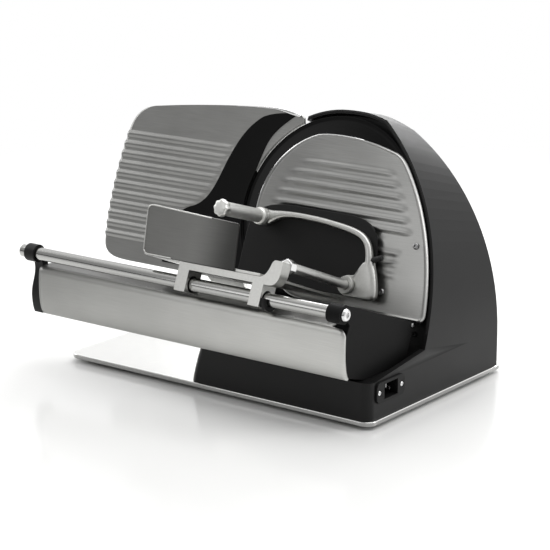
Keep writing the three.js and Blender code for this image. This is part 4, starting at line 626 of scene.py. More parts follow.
# %% Gauge panel
PANEL_R, PANEL_FOOT, PANEL_TURN, PANEL_TOP = 111.2, -83, 96, 105
PANEL_U, WRAP_DEEP = -1.8, 5.0
round_w = np.linspace(PANEL_FOOT, 33.6, 60)
inner_line = climbing(np.vstack([
    np.stack([-np.sqrt(PANEL_R ** 2 - round_w ** 2), round_w], 1),
    bezier([(-106, 33.6), (-103, 48), (-101.5, 62), (-96.5, 72.6)], 20)[1:],
    bezier([(-96.5, 72.6), (-91, 84), (-80, 94), (-66, PANEL_TOP)], 24)[1:],
]))
levels = np.concatenate([
    np.linspace(PANEL_FOOT, PANEL_TURN, 170, endpoint=False),
    PANEL_TOP - (PANEL_TOP - PANEL_TURN) * np.linspace(1, 0, 30) ** 2,
])
from_x = level_lines(s_line[1:], levels)[:, None]
to_x = level_lines(inner_line, levels)[:, None]
wrap = WRAP_DEEP * smooth(40, 32, levels)[:, None]
face = np.linspace(0, 1, 40)
front_x = from_x + 0.5 + np.maximum(to_x - from_x - 0.8, 0) * face
same = np.zeros_like(from_x)
panel_x = np.hstack([from_x, from_x + 0.1, front_x, to_x - 0.1, to_x, to_x, to_x - 0.2, to_x - 0.2])
rear = same - 0.8
front_u = np.full_like(front_x, PANEL_U)
panel_u = np.hstack([rear, same - 1.5, front_u, same - 1.7, same - 1.4, rear + wrap, rear + wrap, rear])
panel = skin("panel_sheet", lean(panel_x, panel_u, levels[:, None]))
fit(panel, "gauge_panel", black_panel)
print("panel levels:", len(levels))

# %% [markdown]
# ## Blade cover
# On the machine the cover is one pressed sheet: round on the left, running along the shell's rim on the
# right, with its right and lower edges rolled over. Rows of levels would cut the rolled edge into steps,
# so this grid goes round instead. Its rings follow the outline, close together over the rolled edge and
# then evenly to the middle, and the ribs are only a height that depends on w.

# %% Rim of the shell
COVER_R, COVER_BOTTOM, COVER_U, SHOULDER = 91.0, -95.0, -4.5, 66.0
RIM_R, RIM_CORNER, RIM_END, RIM_SIDE, RIM_FOOT = 117, 66.1, 117, 157.5, -128
CORNER_PROUD = 4.2


def lip_line(inset):
    """The shell's front rim drawn in by inset: a cubic up the right, then a round top that swells."""
    share = np.linspace(0, 1, 90)
    turn = np.radians(RIM_CORNER + (RIM_END - RIM_CORNER) * share)
    r = RIM_R - inset + CORNER_PROUD * np.maximum(0, 1 - 2 * share) ** 1.4
    top = np.stack([r * np.cos(turn), r * np.sin(turn)], 1)
    pull = (97 - 0.7 * inset, 73 - 0.7 * inset)
    side = bezier([(RIM_SIDE - inset, RIM_FOOT), (RIM_SIDE - inset, 0), pull, top[0]], 160)
    return np.vstack([side[:-1], top])


print("rim corner:", lip_line(0)[160].round(1))

# %% Outline of the cover
RIM_GAP, ROUND_FROM, ROUND_TO = 4.6, math.radians(110), 1.5 * math.pi - 0.45
side = lip_line(RIM_GAP)
side = side[(side[:, 1] > COVER_BOTTOM + 7) & (side[:, 1] < SHOULDER) & (side[:, 0] > 0)]
foot, shoulder = side[0], side[-1]
foot_start = np.array([foot[0] - 6, COVER_BOTTOM])
turn = np.linspace(ROUND_FROM, ROUND_TO, 120)
round_left = COVER_R * np.stack([np.cos(turn), np.sin(turn)], 1)
cover_line = np.vstack([
    side,
    bezier([shoulder, shoulder + [-6, 7], shoulder + [-12.5, 11.3], shoulder + [-19.5, 12.6]], 24)[1:],
    bezier([shoulder + [-19.5, 12.6], (30, 90), (-14, 89.5), round_left[0]], 60)[1:],
    round_left[1:],
    bezier([round_left[-1], (-28, -92), (-16, COVER_BOTTOM), (0, COVER_BOTTOM)], 30)[1:],
    np.linspace((0, COVER_BOTTOM), foot_start, 60)[1:],
    bezier([foot_start, foot_start + [4, 0], foot + [0, -4], foot], 14)[1:-1],
])
print("cover outline:", len(cover_line), "points")

# %% Walks round an outline
def evenly(path, count):
    """Points at equal steps along a closed path."""
    loop = np.vstack([path, path[:1]])
    run = np.concatenate([[0], np.cumsum(np.linalg.norm(np.diff(loop, axis=0), axis=1))])
    at = np.linspace(0, run[-1], count, endpoint=False)
    return np.stack([np.interp(at, run, loop[:, 0]), np.interp(at, run, loop[:, 1])], 1)


def inwards(loop):
    """Unit normals of a closed path towards its inside: each point's direction turned by a quarter."""
    ahead = np.roll(loop, -1, 0) - np.roll(loop, 1, 0)
    ahead /= np.linalg.norm(ahead, axis=1)[:, None]
    area = np.sum(loop[:, 0] * np.roll(loop[:, 1], -1) - loop[:, 1] * np.roll(loop[:, 0], -1))
    return np.sign(area) * np.stack([-ahead[:, 1], ahead[:, 0]], 1)


def round_axis(degrees, out):
    """The place (x, w) at an angle and a distance from the blade's axis."""
    return out * np.array([math.cos(math.radians(degrees)), math.sin(math.radians(degrees))])


print("a quarter round:", round_axis(90, 1).round(3))

# %% Rings of the cover
COVER_RIB_TOP, PLAIN_W, INNER_GAP = 54.5, -16.3, 9.0
cover_screws = {"upper": round_axis(-7.9, 123.2), "lower": round_axis(-37.2, 116.8)}
loop = evenly(cover_line, 380)
# How far each ring is drawn in: back over the edge, round it, and on to the face.
gaps = np.array([1.2, 0.3, 0.0, 0.15, 0.45, 0.9, 1.4, 1.9, 2.4, 2.9, 3.5, 4.0])
rings = loop[None] + inwards(loop)[None] * gaps[:, None, None]
heart = np.array([22.0, -20.0])
part_in = np.linspace(0, 0.985, 78)[1:, None, None]
rings = np.concatenate([rings, rings[-1:] * (1 - part_in) + heart * part_in])
gap = np.concatenate([gaps, np.full(len(part_in), INNER_GAP)])[:, None]
x, w = rings[..., 0], rings[..., 1]
edge_gap = np.where(gap < INNER_GAP, gap, np.linalg.norm(rings - rings[0], axis=-1))
print("cover rings and points:", x.shape)

# %% [markdown]
# ### Pressed form of the cover
# The press leaves ten ribs that die out before the edge, a plain patch round each screw and a bead along the
# edge. Cut as separate strips they would show seams. As heights over the same rings they simply add up. The
# ribs stand a little higher at the left, where the light is flat, and the right edge is rolled over furthest.

# %% Ribs, plain patches and rolled edge
BEAD_AT, BEAD_WIDE, BEAD_LOW, BEAD_RISE = 1.8, 1.1, 0.7, 0.9
TURN_OVER, RETURN_BACK, RETURN_EDGE = 1.3, 2.9, 2.3
rolled = smooth(-30, 60, loop[:, 0] - 0.35 * loop[:, 1])[None]
bead = (BEAD_LOW + BEAD_RISE * rolled) * np.exp(-((gap - BEAD_AT) / BEAD_WIDE) ** 2)
fade_end = 40 - 16 * smooth(-60, 20, x)
rib_growth = 1.8 - 0.8 * smooth(-70, 60, x)
press = ribs(w, COVER_RIB_TOP, 10, wide=9, high=1.4) * smooth(12, fade_end, edge_gap) * rib_growth
press *= (1 - 0.5 * smooth(20, 34, -w)) * (1 - smooth(98, 110, x) * smooth(16, 26, -w))
plain = 1 - smooth(60, 90, x) * np.exp(-((w - PLAIN_W) / 6) ** 4)
for at in cover_screws.values():
    plain = plain * smooth(5, 11, np.hypot(x - at[0], w - at[1]))
cover_u = COVER_U - press * plain - bead + TURN_OVER * np.clip(1 - gap / BEAD_WIDE, 0, 1) ** 2
cover_u[:2] = COVER_U + RETURN_BACK
cover_u[2] = COVER_U + RETURN_EDGE
cover = skin("cover_sheet", lean(x, cover_u, w))
fit(cover, "blade_cover", cover_aluminium)
print("rib height at most:", round(float(press.max()), 2))

# %% Bright bead on the cover
bright = (loop + inwards(loop) * 0.7)[(loop[:, 0] < 30) & (loop[:, 1] > -70)]
edge = carried("cover_bead", lean(bright[:, 0], COVER_U - 0.3, bright[:, 1]), 0.6 * MM)
add_on(edge, body_of("blade_cover"), chrome)
print("cover bead:", len(bright), "points")

# %% [markdown]
# ## Housing and base
# The housing's casting is right as a solid, so its welded copy only gets broken edges and satin
# enamel. A thin bead follows the front lip, where the casting's rim was dressed: a round profile
# carried along the arch.

# %% Broken edges
EDGE_STEPS, FLAT, CORNER = 3, math.radians(0.6), math.radians(38)


def eased(node, width, finish):
    """A casting with broken edges: the solid's welded copy, flat facets joined, sharp edges rounded."""
    mesh = frame["nodes"][node].data.copy()
    work = bmesh.new()
    work.from_mesh(mesh)
    bmesh.ops.remove_doubles(work, verts=work.verts, dist=2e-6)
    bmesh.ops.dissolve_limit(work, angle_limit=FLAT, verts=work.verts, edges=work.edges)
    work.to_mesh(mesh)
    work.free()
    mesh.materials.clear()
    mesh.polygons.foreach_set("use_smooth", np.ones(len(mesh.polygons), bool))
    mesh.set_sharp_from_angle(angle=SHARP)
    piece = bpy.data.objects.new(node + "_eased", mesh)
    scene.collection.objects.link(piece)
    edge = piece.modifiers.new("edges", "BEVEL")
    edge.width, edge.segments, edge.limit_method = width * MM, EDGE_STEPS, "ANGLE"
    edge.angle_limit, edge.harden_normals = CORNER, True
    edge.use_clamp_overlap = True
    return fit(piece, node, finish)


print("steps across a broken edge:", EDGE_STEPS)

# %% Housing and base plate
eased("housing", 1.2, black_enamel)
eased("base_plate", 1.0, plate_aluminium)
lip = lip_line(1.9)[10:]
bead = carried("lip_bead", lean(lip[:, 0], 0.15, lip[:, 1]), 0.9 * MM)
add_on(bead, "base", black_enamel)
print("lip bead points:", len(lip))

# %% Feet
def along_z(x, y):
    """Places a lathe about an upright axis."""
    return lambda a, d, b: upright(a + x, b + y, d)


foot_profile = [(0, -172.5), (10.5, -172.5), (12.2, -172.1), (13, -171), (13, -169.2), (12.4, -168.6),
                (0, -168.5)]
for end, y in (("front", -120), ("rear", 82)):
    for hand, x in (("left", -217), ("right", 132)):
        foot = turned(f"foot_pad_{end}_{hand}", foot_profile, along_z(x, y), 48)
        fit(foot, f"foot_{end}_{hand}", dark_rubber)
print("foot rows:", len(foot_profile))

# %% [markdown]
# ## Rail, apron and ends
# The rail and the pusher's rod are ground steel bars with a small chamfer, which a lathe profile gives in one
# row. The apron is one bent sheet. A bevelled box would have one radius all along, so its section, drawn in
# the upright frame, is swept along the rail instead, and each row stops at the lap's rounded corner.

# %% Bars
def along_x(u, w):
    """Places a lathe about an axis along x, in the leaning frame."""
    return lambda a, d, b: lean(d, a + u, b + w)


RAIL_U, RAIL_W = -139.6, -108.5
ROD_X, ROD_W = 60.0, -71.5
rail_profile = [(0, -288.5), (6.2, -288.5), (7, -287.7), (7, -150), (7, 0), (7, 139.9), (6.2, 140.7),
                (0, 140.7)]
rail = turned("rail_bar", rail_profile, along_x(RAIL_U, RAIL_W), 72)
fit(rail, "rail", rail_steel)
rod_profile = [(0, -147.7), (2.8, -147.7), (2.8, -136.7), (5, -136.7), (5, -80), (5, -15), (4.2, -14),
               (0, -14)]
rod = turned("pusher_bar", rod_profile, along_u(ROD_X, ROD_W), 64)
fit(rod, "pusher_rod", ground_bar)
print("bars:", rail.name, rod.name)

# %% Apron
APRON_FRONT, APRON_TOP, APRON_FOOT, APRON_LEFT = -171.0, -63.0, -117.2, -265.9
BEND_END, APRON_THICK = APRON_TOP - 9, 2.4
bend = bezier([(APRON_FRONT + 9, APRON_TOP), (APRON_FRONT + 3, APRON_TOP), (APRON_FRONT + 1, APRON_TOP - 3.5),
               (APRON_FRONT + 0.8, BEND_END)], 28)
belly = bezier([bend[-1], (APRON_FRONT, BEND_END - 12), (APRON_FRONT - 0.3, APRON_FOOT + 23),
                (APRON_FRONT + 1.4, APRON_FOOT + 13)], 30)[1:]
turn_in = bezier([belly[-1], (APRON_FRONT + 2.4, APRON_FOOT + 7), (APRON_FRONT + 4, APRON_FOOT + 3),
                  (APRON_FRONT + 6.2, APRON_FOOT)], 24)[1:]
flange = np.linspace((APRON_FRONT + 52, APRON_TOP), bend[0], 20)[:-1]
section = np.vstack([flange, bend, belly, turn_in])
lap = bezier([(131, APRON_TOP), (139, APRON_TOP), (143.6, APRON_TOP - 3), (144, BEND_END)], 60)
right_end = np.where(section[:, 1] < APRON_TOP - 1.2, np.interp(-section[:, 1], -lap[:, 1], lap[:, 0]), 127.7)
run = np.linspace(0, 1, 80)
sheet_x = APRON_LEFT + (right_end[:, None] - APRON_LEFT) * run
apron = skin("apron_sheet", upright(sheet_x, section[:, [0]], section[:, [1]]), around=False, caps=False)
fit(thicken(face_front(apron), APRON_THICK), "apron", apron_aluminium)
eased("rail_bracket", 1.4, matt_enamel)
eased("rail_cap", 1.4, black_moulding)
eased("carriage_keeper", 0.8, black_moulding)
print("apron section:", len(section), "points")

# %% [markdown]
# ## Screws
# A button head is a low dome with a six-sided socket. A cutter could sink the socket, but it leaves long thin
# faces in the dome. Here dome and socket are one profile whose inner rings follow a hexagon: the radius there
# is divided by the cosine of the angle to the flat.

# %% Screw heads
HEAD_SIDES, DOME_STEPS = 72, 9


def hexed(angle):
    """Radius of a hexagon of unit flats: one over the cosine of the angle from the nearest flat's middle."""
    return 1 / np.cos((angle + math.pi / 6) % (math.pi / 3) - math.pi / 6)


def button_head(name, place, radius, low, high, socket):
    """Dome from the rim at low to the crown at high, then a sunk hexagon socket of that half width."""
    angle = np.linspace(0, 2 * math.pi, HEAD_SIDES, endpoint=False)
    t = np.linspace(0, 1, DOME_STEPS)
    dome_r = radius * np.cos(0.5 * t) ** 0.5 * (1 - 0.42 * t ** 2)
    dome_d = low + (high - low) * np.sin(0.5 * math.pi * t)
    rows = [(np.zeros(HEAD_SIDES), low), (np.full(HEAD_SIDES, radius), low)]
    rows += [(np.full(HEAD_SIDES, r), d) for r, d in zip(dome_r, dome_d)]
    depth = low + 0.25 * (high - low)
    rows += [(socket * 1.06 * hexed(angle), high), (socket * hexed(angle), high - 0.06 * (high - low)),
             (socket * 0.98 * hexed(angle), depth), (np.zeros(HEAD_SIDES), depth)]
    r = np.stack([row[0] for row in rows])
    d = np.stack([np.full(HEAD_SIDES, row[1]) for row in rows])
    return skin(name, place(r * np.cos(angle), d, r * np.sin(angle)), caps=False)


def along_x_upright(y, z):
    """Places a lathe about an axis along x, in the upright frame."""
    return lambda a, d, b: upright(d, a + y, b + z)


print("sides of a head:", HEAD_SIDES)

# %% Screws in place
rail_y = RAIL_U * math.cos(TILT) + RAIL_W * math.sin(TILT)
rail_z = RAIL_W * math.cos(TILT) - RAIL_U * math.sin(TILT)
head = button_head("rail_button_screw", along_x_upright(rail_y, rail_z), 6.8, 144.3, 147.5, 2.6)
fit(head, "rail_screw", chrome)
for end, place in cover_screws.items():
    head = button_head(f"cover_button_screw_{end}", along_u(*place), 3.6, -4.8, -6.8, 1.3)
    fit(head, f"cover_screw_{end}", turned_steel)
for end, y in (("front", -130.5), ("rear", -90.5)):
    head = button_head(f"inlet_button_screw_{end}", along_x_upright(y, -136), 2.8, 158.7, 160, 1.0)
    fit(head, f"inlet_screw_{end}", chrome)
head = button_head("bracket_button_screw", along_x_upright(-49.65, -86.6), 2.2, 144.3, 145.4, 0.9)
fit(head, "bracket_screw", turned_steel)
head = button_head("recess_button_screw", along_u(134.2, -106.3), 2.8, 11.7, 9.7, 1.1)
fit(head, "recess_screw", black_moulding)
print("faces of a head:", len(head.data.polygons))

# %% [markdown]
# ## Carriage, tray and guard
# The carriage and the small castings about it keep their solids' shape with softly broken edges. The guard
# is a flat sheet: rings that follow its outline inwards, each with its own depth, round its edge. A bright
# bead is rolled along its top, left and lower edges, drawn as a round section carried along them.

# %% Castings
edge_widths = {
    "carriage": (1.3, buffed_casting), "pusher_plate": (0.9, black_moulding),
    "pusher_sleeve": (0.6, buffed_casting), "pusher_rod_nut": (0.7, chrome),
    "food_tray": (0.7, buffed_casting), "gauge_arm": (1.2, buffed_casting),
    "gauge_guide": (1.0, buffed_casting),
}
for node, (width, finish) in edge_widths.items():
    eased(node, width, finish)
print("castings eased:", len(edge_widths))

# %% Hand guard
GUARD_U, TRAY_FOOT, TRAY_TOP = -151.0, -87.7, -84.7
guard_line = np.vstack([
    np.linspace((7.6, TRAY_FOOT + 3), (1.4, -41.5), 20),
    bezier([(1.4, -41.5), (1.1, -39.6), (0.6, -39), (-1.4, -38.9)], 8)[1:],
    np.linspace((-1.4, -38.9), (-112, -34.3), 40)[1:],
    bezier([(-112, -34.3), (-118.5, -34.05), (-121.6, -36.5), (-120.5, -43)], 14)[1:],
    np.linspace((-120.5, -43), (-114.5, TRAY_TOP + 3), 20)[1:],
    bezier([(-114.5, TRAY_TOP + 3), (-113.8, -86), (-110, TRAY_FOOT), (-105, TRAY_FOOT)], 14)[1:],
    np.linspace((-105, TRAY_FOOT), (5, TRAY_FOOT), 40)[1:],
    bezier([(5, TRAY_FOOT), (7, TRAY_FOOT), (7.8, TRAY_FOOT + 1), (7.6, TRAY_FOOT + 3)], 8)[1:-1],
])
loop = evenly(guard_line, 300)
# How far each ring is drawn in and how deep it lies, from the back round the edge to the face.
inset = np.array([1.5, 0.3, 0.0, 0.2, 0.6, 1.1, 1.8])[:, None]
depth = np.array([2.3, 2.3, 1.4, 1.0, 0.85, 0.8, 0.8])[:, None]
rings = loop[None] + inwards(loop)[None] * inset[:, :, None]
part_in = np.linspace(0, 0.98, 14)[1:, None, None]
rings = np.concatenate([rings, rings[-1:] * (1 - part_in) + loop.mean(0) * part_in])
depth = np.concatenate([depth, np.full((len(part_in), 1), depth[-1])])
guard = skin("guard_sheet", lean(rings[..., 0], GUARD_U + depth, rings[..., 1]))
fit(guard, "hand_guard", guard_aluminium)
print("guard outline:", len(loop), "points")

# %% Bead on the guard
beaded = (loop[:, 0] < -34) & ((loop[:, 1] > -60) | (loop[:, 0] < -75))
edge = (loop + inwards(loop) * 0.9)[beaded]
bead = carried("guard_bead", lean(edge[:, 0], GUARD_U + 0.75, edge[:, 1]), 0.7 * MM)
add_on(bead, body_of("hand_guard"), buffed_casting)
print("guard bead:", len(edge), "points")

# %% [markdown]
# ## The pusher's arm
# The arm is one casting, ground by hand: a slim bow that leaves the foot on the right, bends over and runs
# level to the handle, where it flares like a trumpet. A bevel on the solid cannot round a bow this slim, so
# it is swept instead: a section a little squarer than an ellipse is carried along a smooth curve through a
# few stations, each with its own half width. The foot is a ring grid about the hub, and the boss is turned.

# %% Bow of the arm
ARM_FRONT, ARM_REAR, FULLNESS = -21.7, -12.7, 0.8
HANDLE_X, HANDLE_W = -67.5, -15.0


def spline(points, count):
    """A smooth curve through points: each cubic leaves a point along the line between its neighbours."""
    p = np.asarray(points, float)
    p = np.vstack([p[:1], p, p[-1:]])
    t = np.linspace(0, len(p) - 3 - 1e-9, count)
    i, f = t.astype(int), (t % 1)[:, None]
    a, b, c, d = p[i], p[i + 1], p[i + 2], p[i + 3]
    bend, twist = 2 * a - 5 * b + 4 * c - d, 3 * b - a - 3 * c + d
    return 0.5 * (2 * b + (c - a) * f + bend * f ** 2 + twist * f ** 3)


# Stations along the arm from its foot to the handle: x, w and the half width there.
stations = [
    (73.0, -66.0, 6.0), (76.2, -60.0, 6.2), (77.5, -50.0, 5.4), (78.0, -43.5, 4.2), (76.0, -34.5, 3.8),
    (72.0, -25.5, 3.6), (65.8, -19.1, 3.4), (57.0, -15.0, 3.4), (43.0, -12.0, 3.3), (27.5, -10.0, 3.2),
    (11.5, -8.4, 3.1), (-4.0, -7.6, 3.1), (-20.0, -7.2, 3.1), (-36.0, -7.8, 3.4), (-47.0, -9.4, 4.3),
    (-55.0, -11.6, 5.9), (-61.0, -13.4, 7.8), (HANDLE_X, HANDLE_W, 8.4),
]
bow = spline(stations, 180)
ahead = np.gradient(bow[:, :2], axis=0)
ahead /= np.linalg.norm(ahead, axis=1)[:, None]
across = np.stack([-ahead[:, 1], ahead[:, 0]], 1)
angle = np.linspace(0, 2 * math.pi, 36, endpoint=False)
side_share = np.sign(np.cos(angle)) * np.abs(np.cos(angle)) ** FULLNESS
deep_share = np.sign(np.sin(angle)) * np.abs(np.sin(angle)) ** FULLNESS
bow_x = bow[:, [0]] + across[:, [0]] * bow[:, [2]] * side_share
bow_w = bow[:, [1]] + across[:, [1]] * bow[:, [2]] * side_share
bow_u = (ARM_FRONT + ARM_REAR) / 2 + 0.5 * (ARM_REAR - ARM_FRONT) * deep_share
fit(skin("arm_bow", lean(bow_x, bow_u, bow_w)), "pusher_arm", buffed_casting)
print("bow stations:", len(stations), "rings:", len(bow))

# %% Foot of the arm
HUB_R, BORE_R = 11.4, 7.5
round_hub = np.radians(np.linspace(95, 265, 40))
foot_line = np.vstack([
    bezier([(60, -82.9), (70, -83), (80, -83.6), (88, -83.2)], 20),
    bezier([(88, -83.2), (94, -82.6), (96, -79), (95, -73)], 14)[1:],
    bezier([(95, -73), (92.6, -62), (88.6, -52), (82.4, -41)], 24)[1:],
    np.linspace((82.4, -41), (74.2, -43), 6)[1:],
    bezier([(74.2, -43), (73.4, -53), (69, -59.4), (60, -60.1)], 20)[1:],
    np.stack([ROD_X + HUB_R * np.cos(round_hub), ROD_W + HUB_R * np.sin(round_hub)], 1),
])
outer = evenly(foot_line, 240)
spin = np.arctan2(outer[:, 1] - ROD_W, outer[:, 0] - ROD_X)
bore = np.array([ROD_X, ROD_W]) + BORE_R * np.stack([np.cos(spin), np.sin(spin)], 1)
# Ring by ring round the section: the share of the way from the outline to the bore, and the height.
part_in = np.array([0, 0, 0.02, 0.05, 0.09, 0.14, 0.2, 0.28, 0.4, 0.6, 0.8, 0.97, 1.0, 1.0, 0.97, 0.6, 0.3,
                    0.1, 0.03])
deep = np.array([1.6, 4.6, 6.2, 7.3, 8.0, 8.5, 8.8, 8.95, 9, 9, 9, 9, 8.8, 0.2, 0, 0, 0, 0, 0.4])
rows = outer[None] * (1 - part_in[:, None, None]) + bore[None] * part_in[:, None, None]
rows = np.concatenate([rows, rows[:1]])
foot_u = ARM_REAR - np.append(deep, deep[0])[:, None]
arm_foot = skin("arm_foot", lean(rows[..., 0], foot_u, rows[..., 1]), caps=False)
fit(arm_foot, "pusher_arm", buffed_casting)
print("foot outline:", len(outer), "points")

# %% [markdown]
# ## Handle
# The handle is turned bar with a collar, screwed to a boss that leans a little down and to the left. Its end
# is a lobed cap. A bar could be turned upright and then rotated, but a finished piece keeps its place in its
# mesh, so the function that places the lathe's points leans them. The cap's radius falls between its lobes.

# %% Boss, grip and cap
DROP, SWAY = math.radians(4.4), math.radians(3.4)


def on_handle(a, d, b):
    """Points of a lathe on the handle's axis: turned about x by drop, then about w by sway."""
    along = (d - ARM_FRONT) * math.cos(DROP) - b * math.sin(DROP)
    up = (d - ARM_FRONT) * math.sin(DROP) + b * math.cos(DROP)
    x = a * math.cos(SWAY) + along * math.sin(SWAY) + HANDLE_X
    u = along * math.cos(SWAY) - a * math.sin(SWAY) + ARM_FRONT
    return lean(x, u, up + HANDLE_W)


def eight_lobes(angle):
    """Radius share round the cap: falls by a ninth between its eight lobes."""
    return 1 - (1 - np.cos(8 * angle)) / 18


boss_profile = [(0, -16.5), (8.6, -16.5), (9.4, -17.2), (9.6, -18.2), (9.6, -22.3), (9.2, -23.1),
                (0, -23.1)]
fit(turned("arm_boss", boss_profile, on_handle, 72), "pusher_arm", buffed_casting)
grip_profile = [(0, -23.4), (9.0, -23.4), (9.6, -24.1), (9.6, -27.4), (9.1, -28.6), (8.2, -29.3),
                (7.7, -29.8), (7.6, -31), (7.6, -55), (7.6, -84.8), (7.2, -85.4), (0, -85.4)]
fit(turned("handle_grip", grip_profile, on_handle, 72), "pusher_handle", satin_bar)
cap_profile = [(0, -85.7), (8.4, -85.7), (9.3, -86.4), (9.6, -87.6), (9.6, -91.6), (9.3, -93), (8.5, -94),
               (7, -94.5), (4, -94.7), (0, -94.7)]
fit(turned("handle_end", cap_profile, on_handle, 160, eight_lobes), "pusher_handle_cap", satin_cap)
print("boss, grip and cap made")

# %% [markdown]
# ### Stop peg
# A short rubber peg stands out of the arm beside its foot. It is a lathe too, on an axis that climbs by
# 23 degrees, so only the function that places its points is new.

# %% Stop peg
PEG_X, PEG_W, PEG_RUN, PEG_CLIMB = 81, -41, 0.92, 0.39


def on_peg(a, d, b):
    """Points of a lathe on the peg's axis: d goes run and climb along it, and b goes square to it."""
    x, w = PEG_X + d * PEG_RUN - b * PEG_CLIMB, PEG_W + d * PEG_CLIMB + b * PEG_RUN
    return lean(x, a + (ARM_FRONT + ARM_REAR) / 2, w)


peg_profile = [(0, 0), (3, 0), (3, 11), (2.7, 12.4), (1.8, 13), (0, 13)]
fit(turned("stop_peg", peg_profile, on_peg, 40), "pusher_stop_pin", dark_rubber)
print("peg rows:", len(peg_profile))

# %% [markdown]
# ## Inlet, buttons and knob
# The mains inlet and the bezel are mouldings whose sockets are already cut, so their solids only need softer
# edges. The buttons have a dished face and the knob has twelve shallow lobes. Modelled lobes would need a
# cutter for each, while a lathe only has to vary its radius with the angle.

# %% Small mouldings
eased("inlet", 0.6, black_moulding)
eased("button_bezel", 0.6, black_moulding)
press_profile = [(0, -67.4), (3, -67.3), (5.4, -67.7), (6.5, -68), (7, -67.5), (7, -60), (7, -56), (0, -56)]
for word, y, finish in (("stop", -114, red_button), ("start", -94, black_moulding)):
    fit(turned(f"{word}_press", press_profile, along_x_upright(y, -145), 56), f"{word}_button", finish)


def twelve_lobes(angle):
    """Radius share round the knob: falls by a twenty-second between its twelve lobes."""
    return 1 - (1 - np.cos(12 * angle)) / 44


knob_profile = [(0, -94.3), (20.5, -94.3), (22, -95.6), (22, -108.6), (21, -110.8), (18.5, -112), (12, -112),
                (10.5, -111.2), (0, -111)]
fit(turned("knob_grip", knob_profile, along_x(75, -115), 180, twelve_lobes), "thickness_knob", black_moulding)
print("knob rows:", len(knob_profile))

# %% [markdown]
# ## Studio
# A pale floor and broad soft lamps. The floor is white and slightly glossy, so it carries a soft shadow
# and a faint reflection. Far from the machine it glows white to the eye and to mirrors, as a backdrop does.

# %% Floor
FLOOR = 9.0
corners = np.array([[(-FLOOR, -FLOOR, 0), (FLOOR, -FLOOR, 0)], [(-FLOOR, FLOOR, 0), (FLOOR, FLOOR, 0)]])
floor = skin("floor", corners, around=False, caps=False)
paper, tree, shader, where = start("white_floor", "#e4e4e3", 0.14, **{GLOSS: 0.3})
far = add(tree, "ShaderNodeVectorMath", {0: where}, operation="LENGTH")
away = add(tree, "ShaderNodeMapRange", {"Value": far.outputs["Value"], "From Min": 0.35, "From Max": 1.3},
           interpolation_type="SMOOTHSTEP")
sight = add(tree, "ShaderNodeLightPath")
mirrored = add(tree, "ShaderNodeMath", operation="MAXIMUM",
               sockets={0: sight.outputs["Is Glossy Ray"], 1: sight.outputs["Is Transmission Ray"]})
seen = add(tree, "ShaderNodeMath", operation="MAXIMUM",
           sockets={0: sight.outputs["Is Camera Ray"], 1: mirrored.outputs[0]})
glow = add(tree, "ShaderNodeMath", {0: away.outputs[0], 1: seen.outputs[0]}, operation="MULTIPLY")
depth = add(tree, "ShaderNodeSeparateXYZ", {0: where})
rise = add(tree, "ShaderNodeMapRange", {"Value": depth.outputs["Y"], "From Min": -0.5, "From Max": 0.6,
                                        "To Min": 0.85, "To Max": 1.0}, interpolation_type="SMOOTHSTEP")
light = add(tree, "ShaderNodeEmission", {"Color": (1, 1, 1, 1), "Strength": rise.outputs[0]})
blend = add(tree, "ShaderNodeMixShader", {0: glow.outputs[0], 1: shader.outputs[0], 2: light.outputs[0]})
tree.links.new(blend.outputs[0], tree.nodes["Material Output"].inputs[0])
floor.data.materials.append(paper)
print("floor:", floor.dimensions[:2])

# %% [markdown]
# ### Lamps and world
# The photograph's light is broad: bright behind and above, and dimmer towards the eye, where the room is
# dark. Mirrors need that dark room to draw their thin black lines. A painted backdrop would do, but the world
# can give it by direction alone. Soft lamps add a rim of light from behind, and a weak one at the front left
# opens up the ribs.

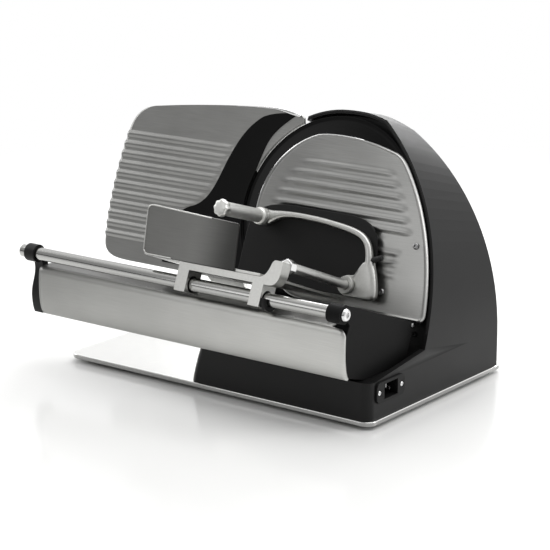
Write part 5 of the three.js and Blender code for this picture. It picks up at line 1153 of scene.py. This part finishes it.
# %% World
world = bpy.data.worlds.new("studio")
world.use_nodes = True
scene.world = world
tree = world.node_tree
sky = tree.nodes["Background"]
sky.inputs[0].default_value = (1, 1, 1, 1)
heading = add(tree, "ShaderNodeSeparateXYZ", {0: add(tree, "ShaderNodeTexCoord").outputs["Generated"]})
behind = add(tree, "ShaderNodeMapRange", {"Value": heading.outputs["Y"], "From Min": -0.55, "From Max": 0.45,
                                          "To Min": 0.48, "To Max": 1.0}, interpolation_type="SMOOTHSTEP")
ceiling = add(tree, "ShaderNodeMapRange", {"Value": heading.outputs["Z"], "From Min": 0.45, "From Max": 0.8,
                                           "To Min": 1.0, "To Max": 1.35}, interpolation_type="SMOOTHSTEP")
low = add(tree, "ShaderNodeMapRange", {"Value": heading.outputs["Z"], "From Min": 0.1, "From Max": 0.26,
                                       "To Min": 0.15, "To Max": 1.0}, interpolation_type="SMOOTHSTEP")
aside = add(tree, "ShaderNodeMapRange", {"Value": heading.outputs["Y"], "From Min": -0.75, "From Max": -0.4},
            interpolation_type="SMOOTHSTEP")
room = add(tree, "ShaderNodeMath", {0: low.outputs[0], 1: aside.outputs[0]}, operation="MAXIMUM")
open_sky = add(tree, "ShaderNodeMath", {0: behind.outputs[0], 1: ceiling.outputs[0]}, operation="MULTIPLY")
strength = add(tree, "ShaderNodeMath", {0: open_sky.outputs[0], 1: room.outputs[0]}, operation="MULTIPLY")
tree.links.new(strength.outputs[0], sky.inputs[1])
print("world:", world.name)

# %% Lamps
def lamp(name, place, aim, size, watts):
    """A rectangular soft lamp at a place, turned towards a point."""
    light = bpy.data.lights.new(name, "AREA")
    light.shape, light.size, light.size_y, light.energy = "RECTANGLE", size[0], size[1], watts
    made = bpy.data.objects.new(name, light)
    made.location = place
    made.rotation_mode = "QUATERNION"
    made.rotation_quaternion = (Vector(aim) - Vector(place)).to_track_quat("-Z", "Y")
    scene.collection.objects.link(made)


lamp("overhead", (0.1, 0.2, 1.9), (0, 0, 0.1), (1.8, 1.4), 14)
lamp("left", (-1.9, -0.2, 1.0), (0, 0, 0.12), (0.8, 1.2), 10)
lamp("right_rear", (1.6, 0.9, 1.1), (0.1, 0.05, 0.15), (0.7, 1.2), 9)
lamp("rear", (-0.5, 1.4, 1.0), (0.1, 0.05, 0.2), (1.2, 0.6), 22)
lamp("front_left", (-0.42, -0.95, 0.5), (0.12, 0, 0.14), (0.4, 0.5), 0.7)
print("lamps:", len(bpy.data.lights))
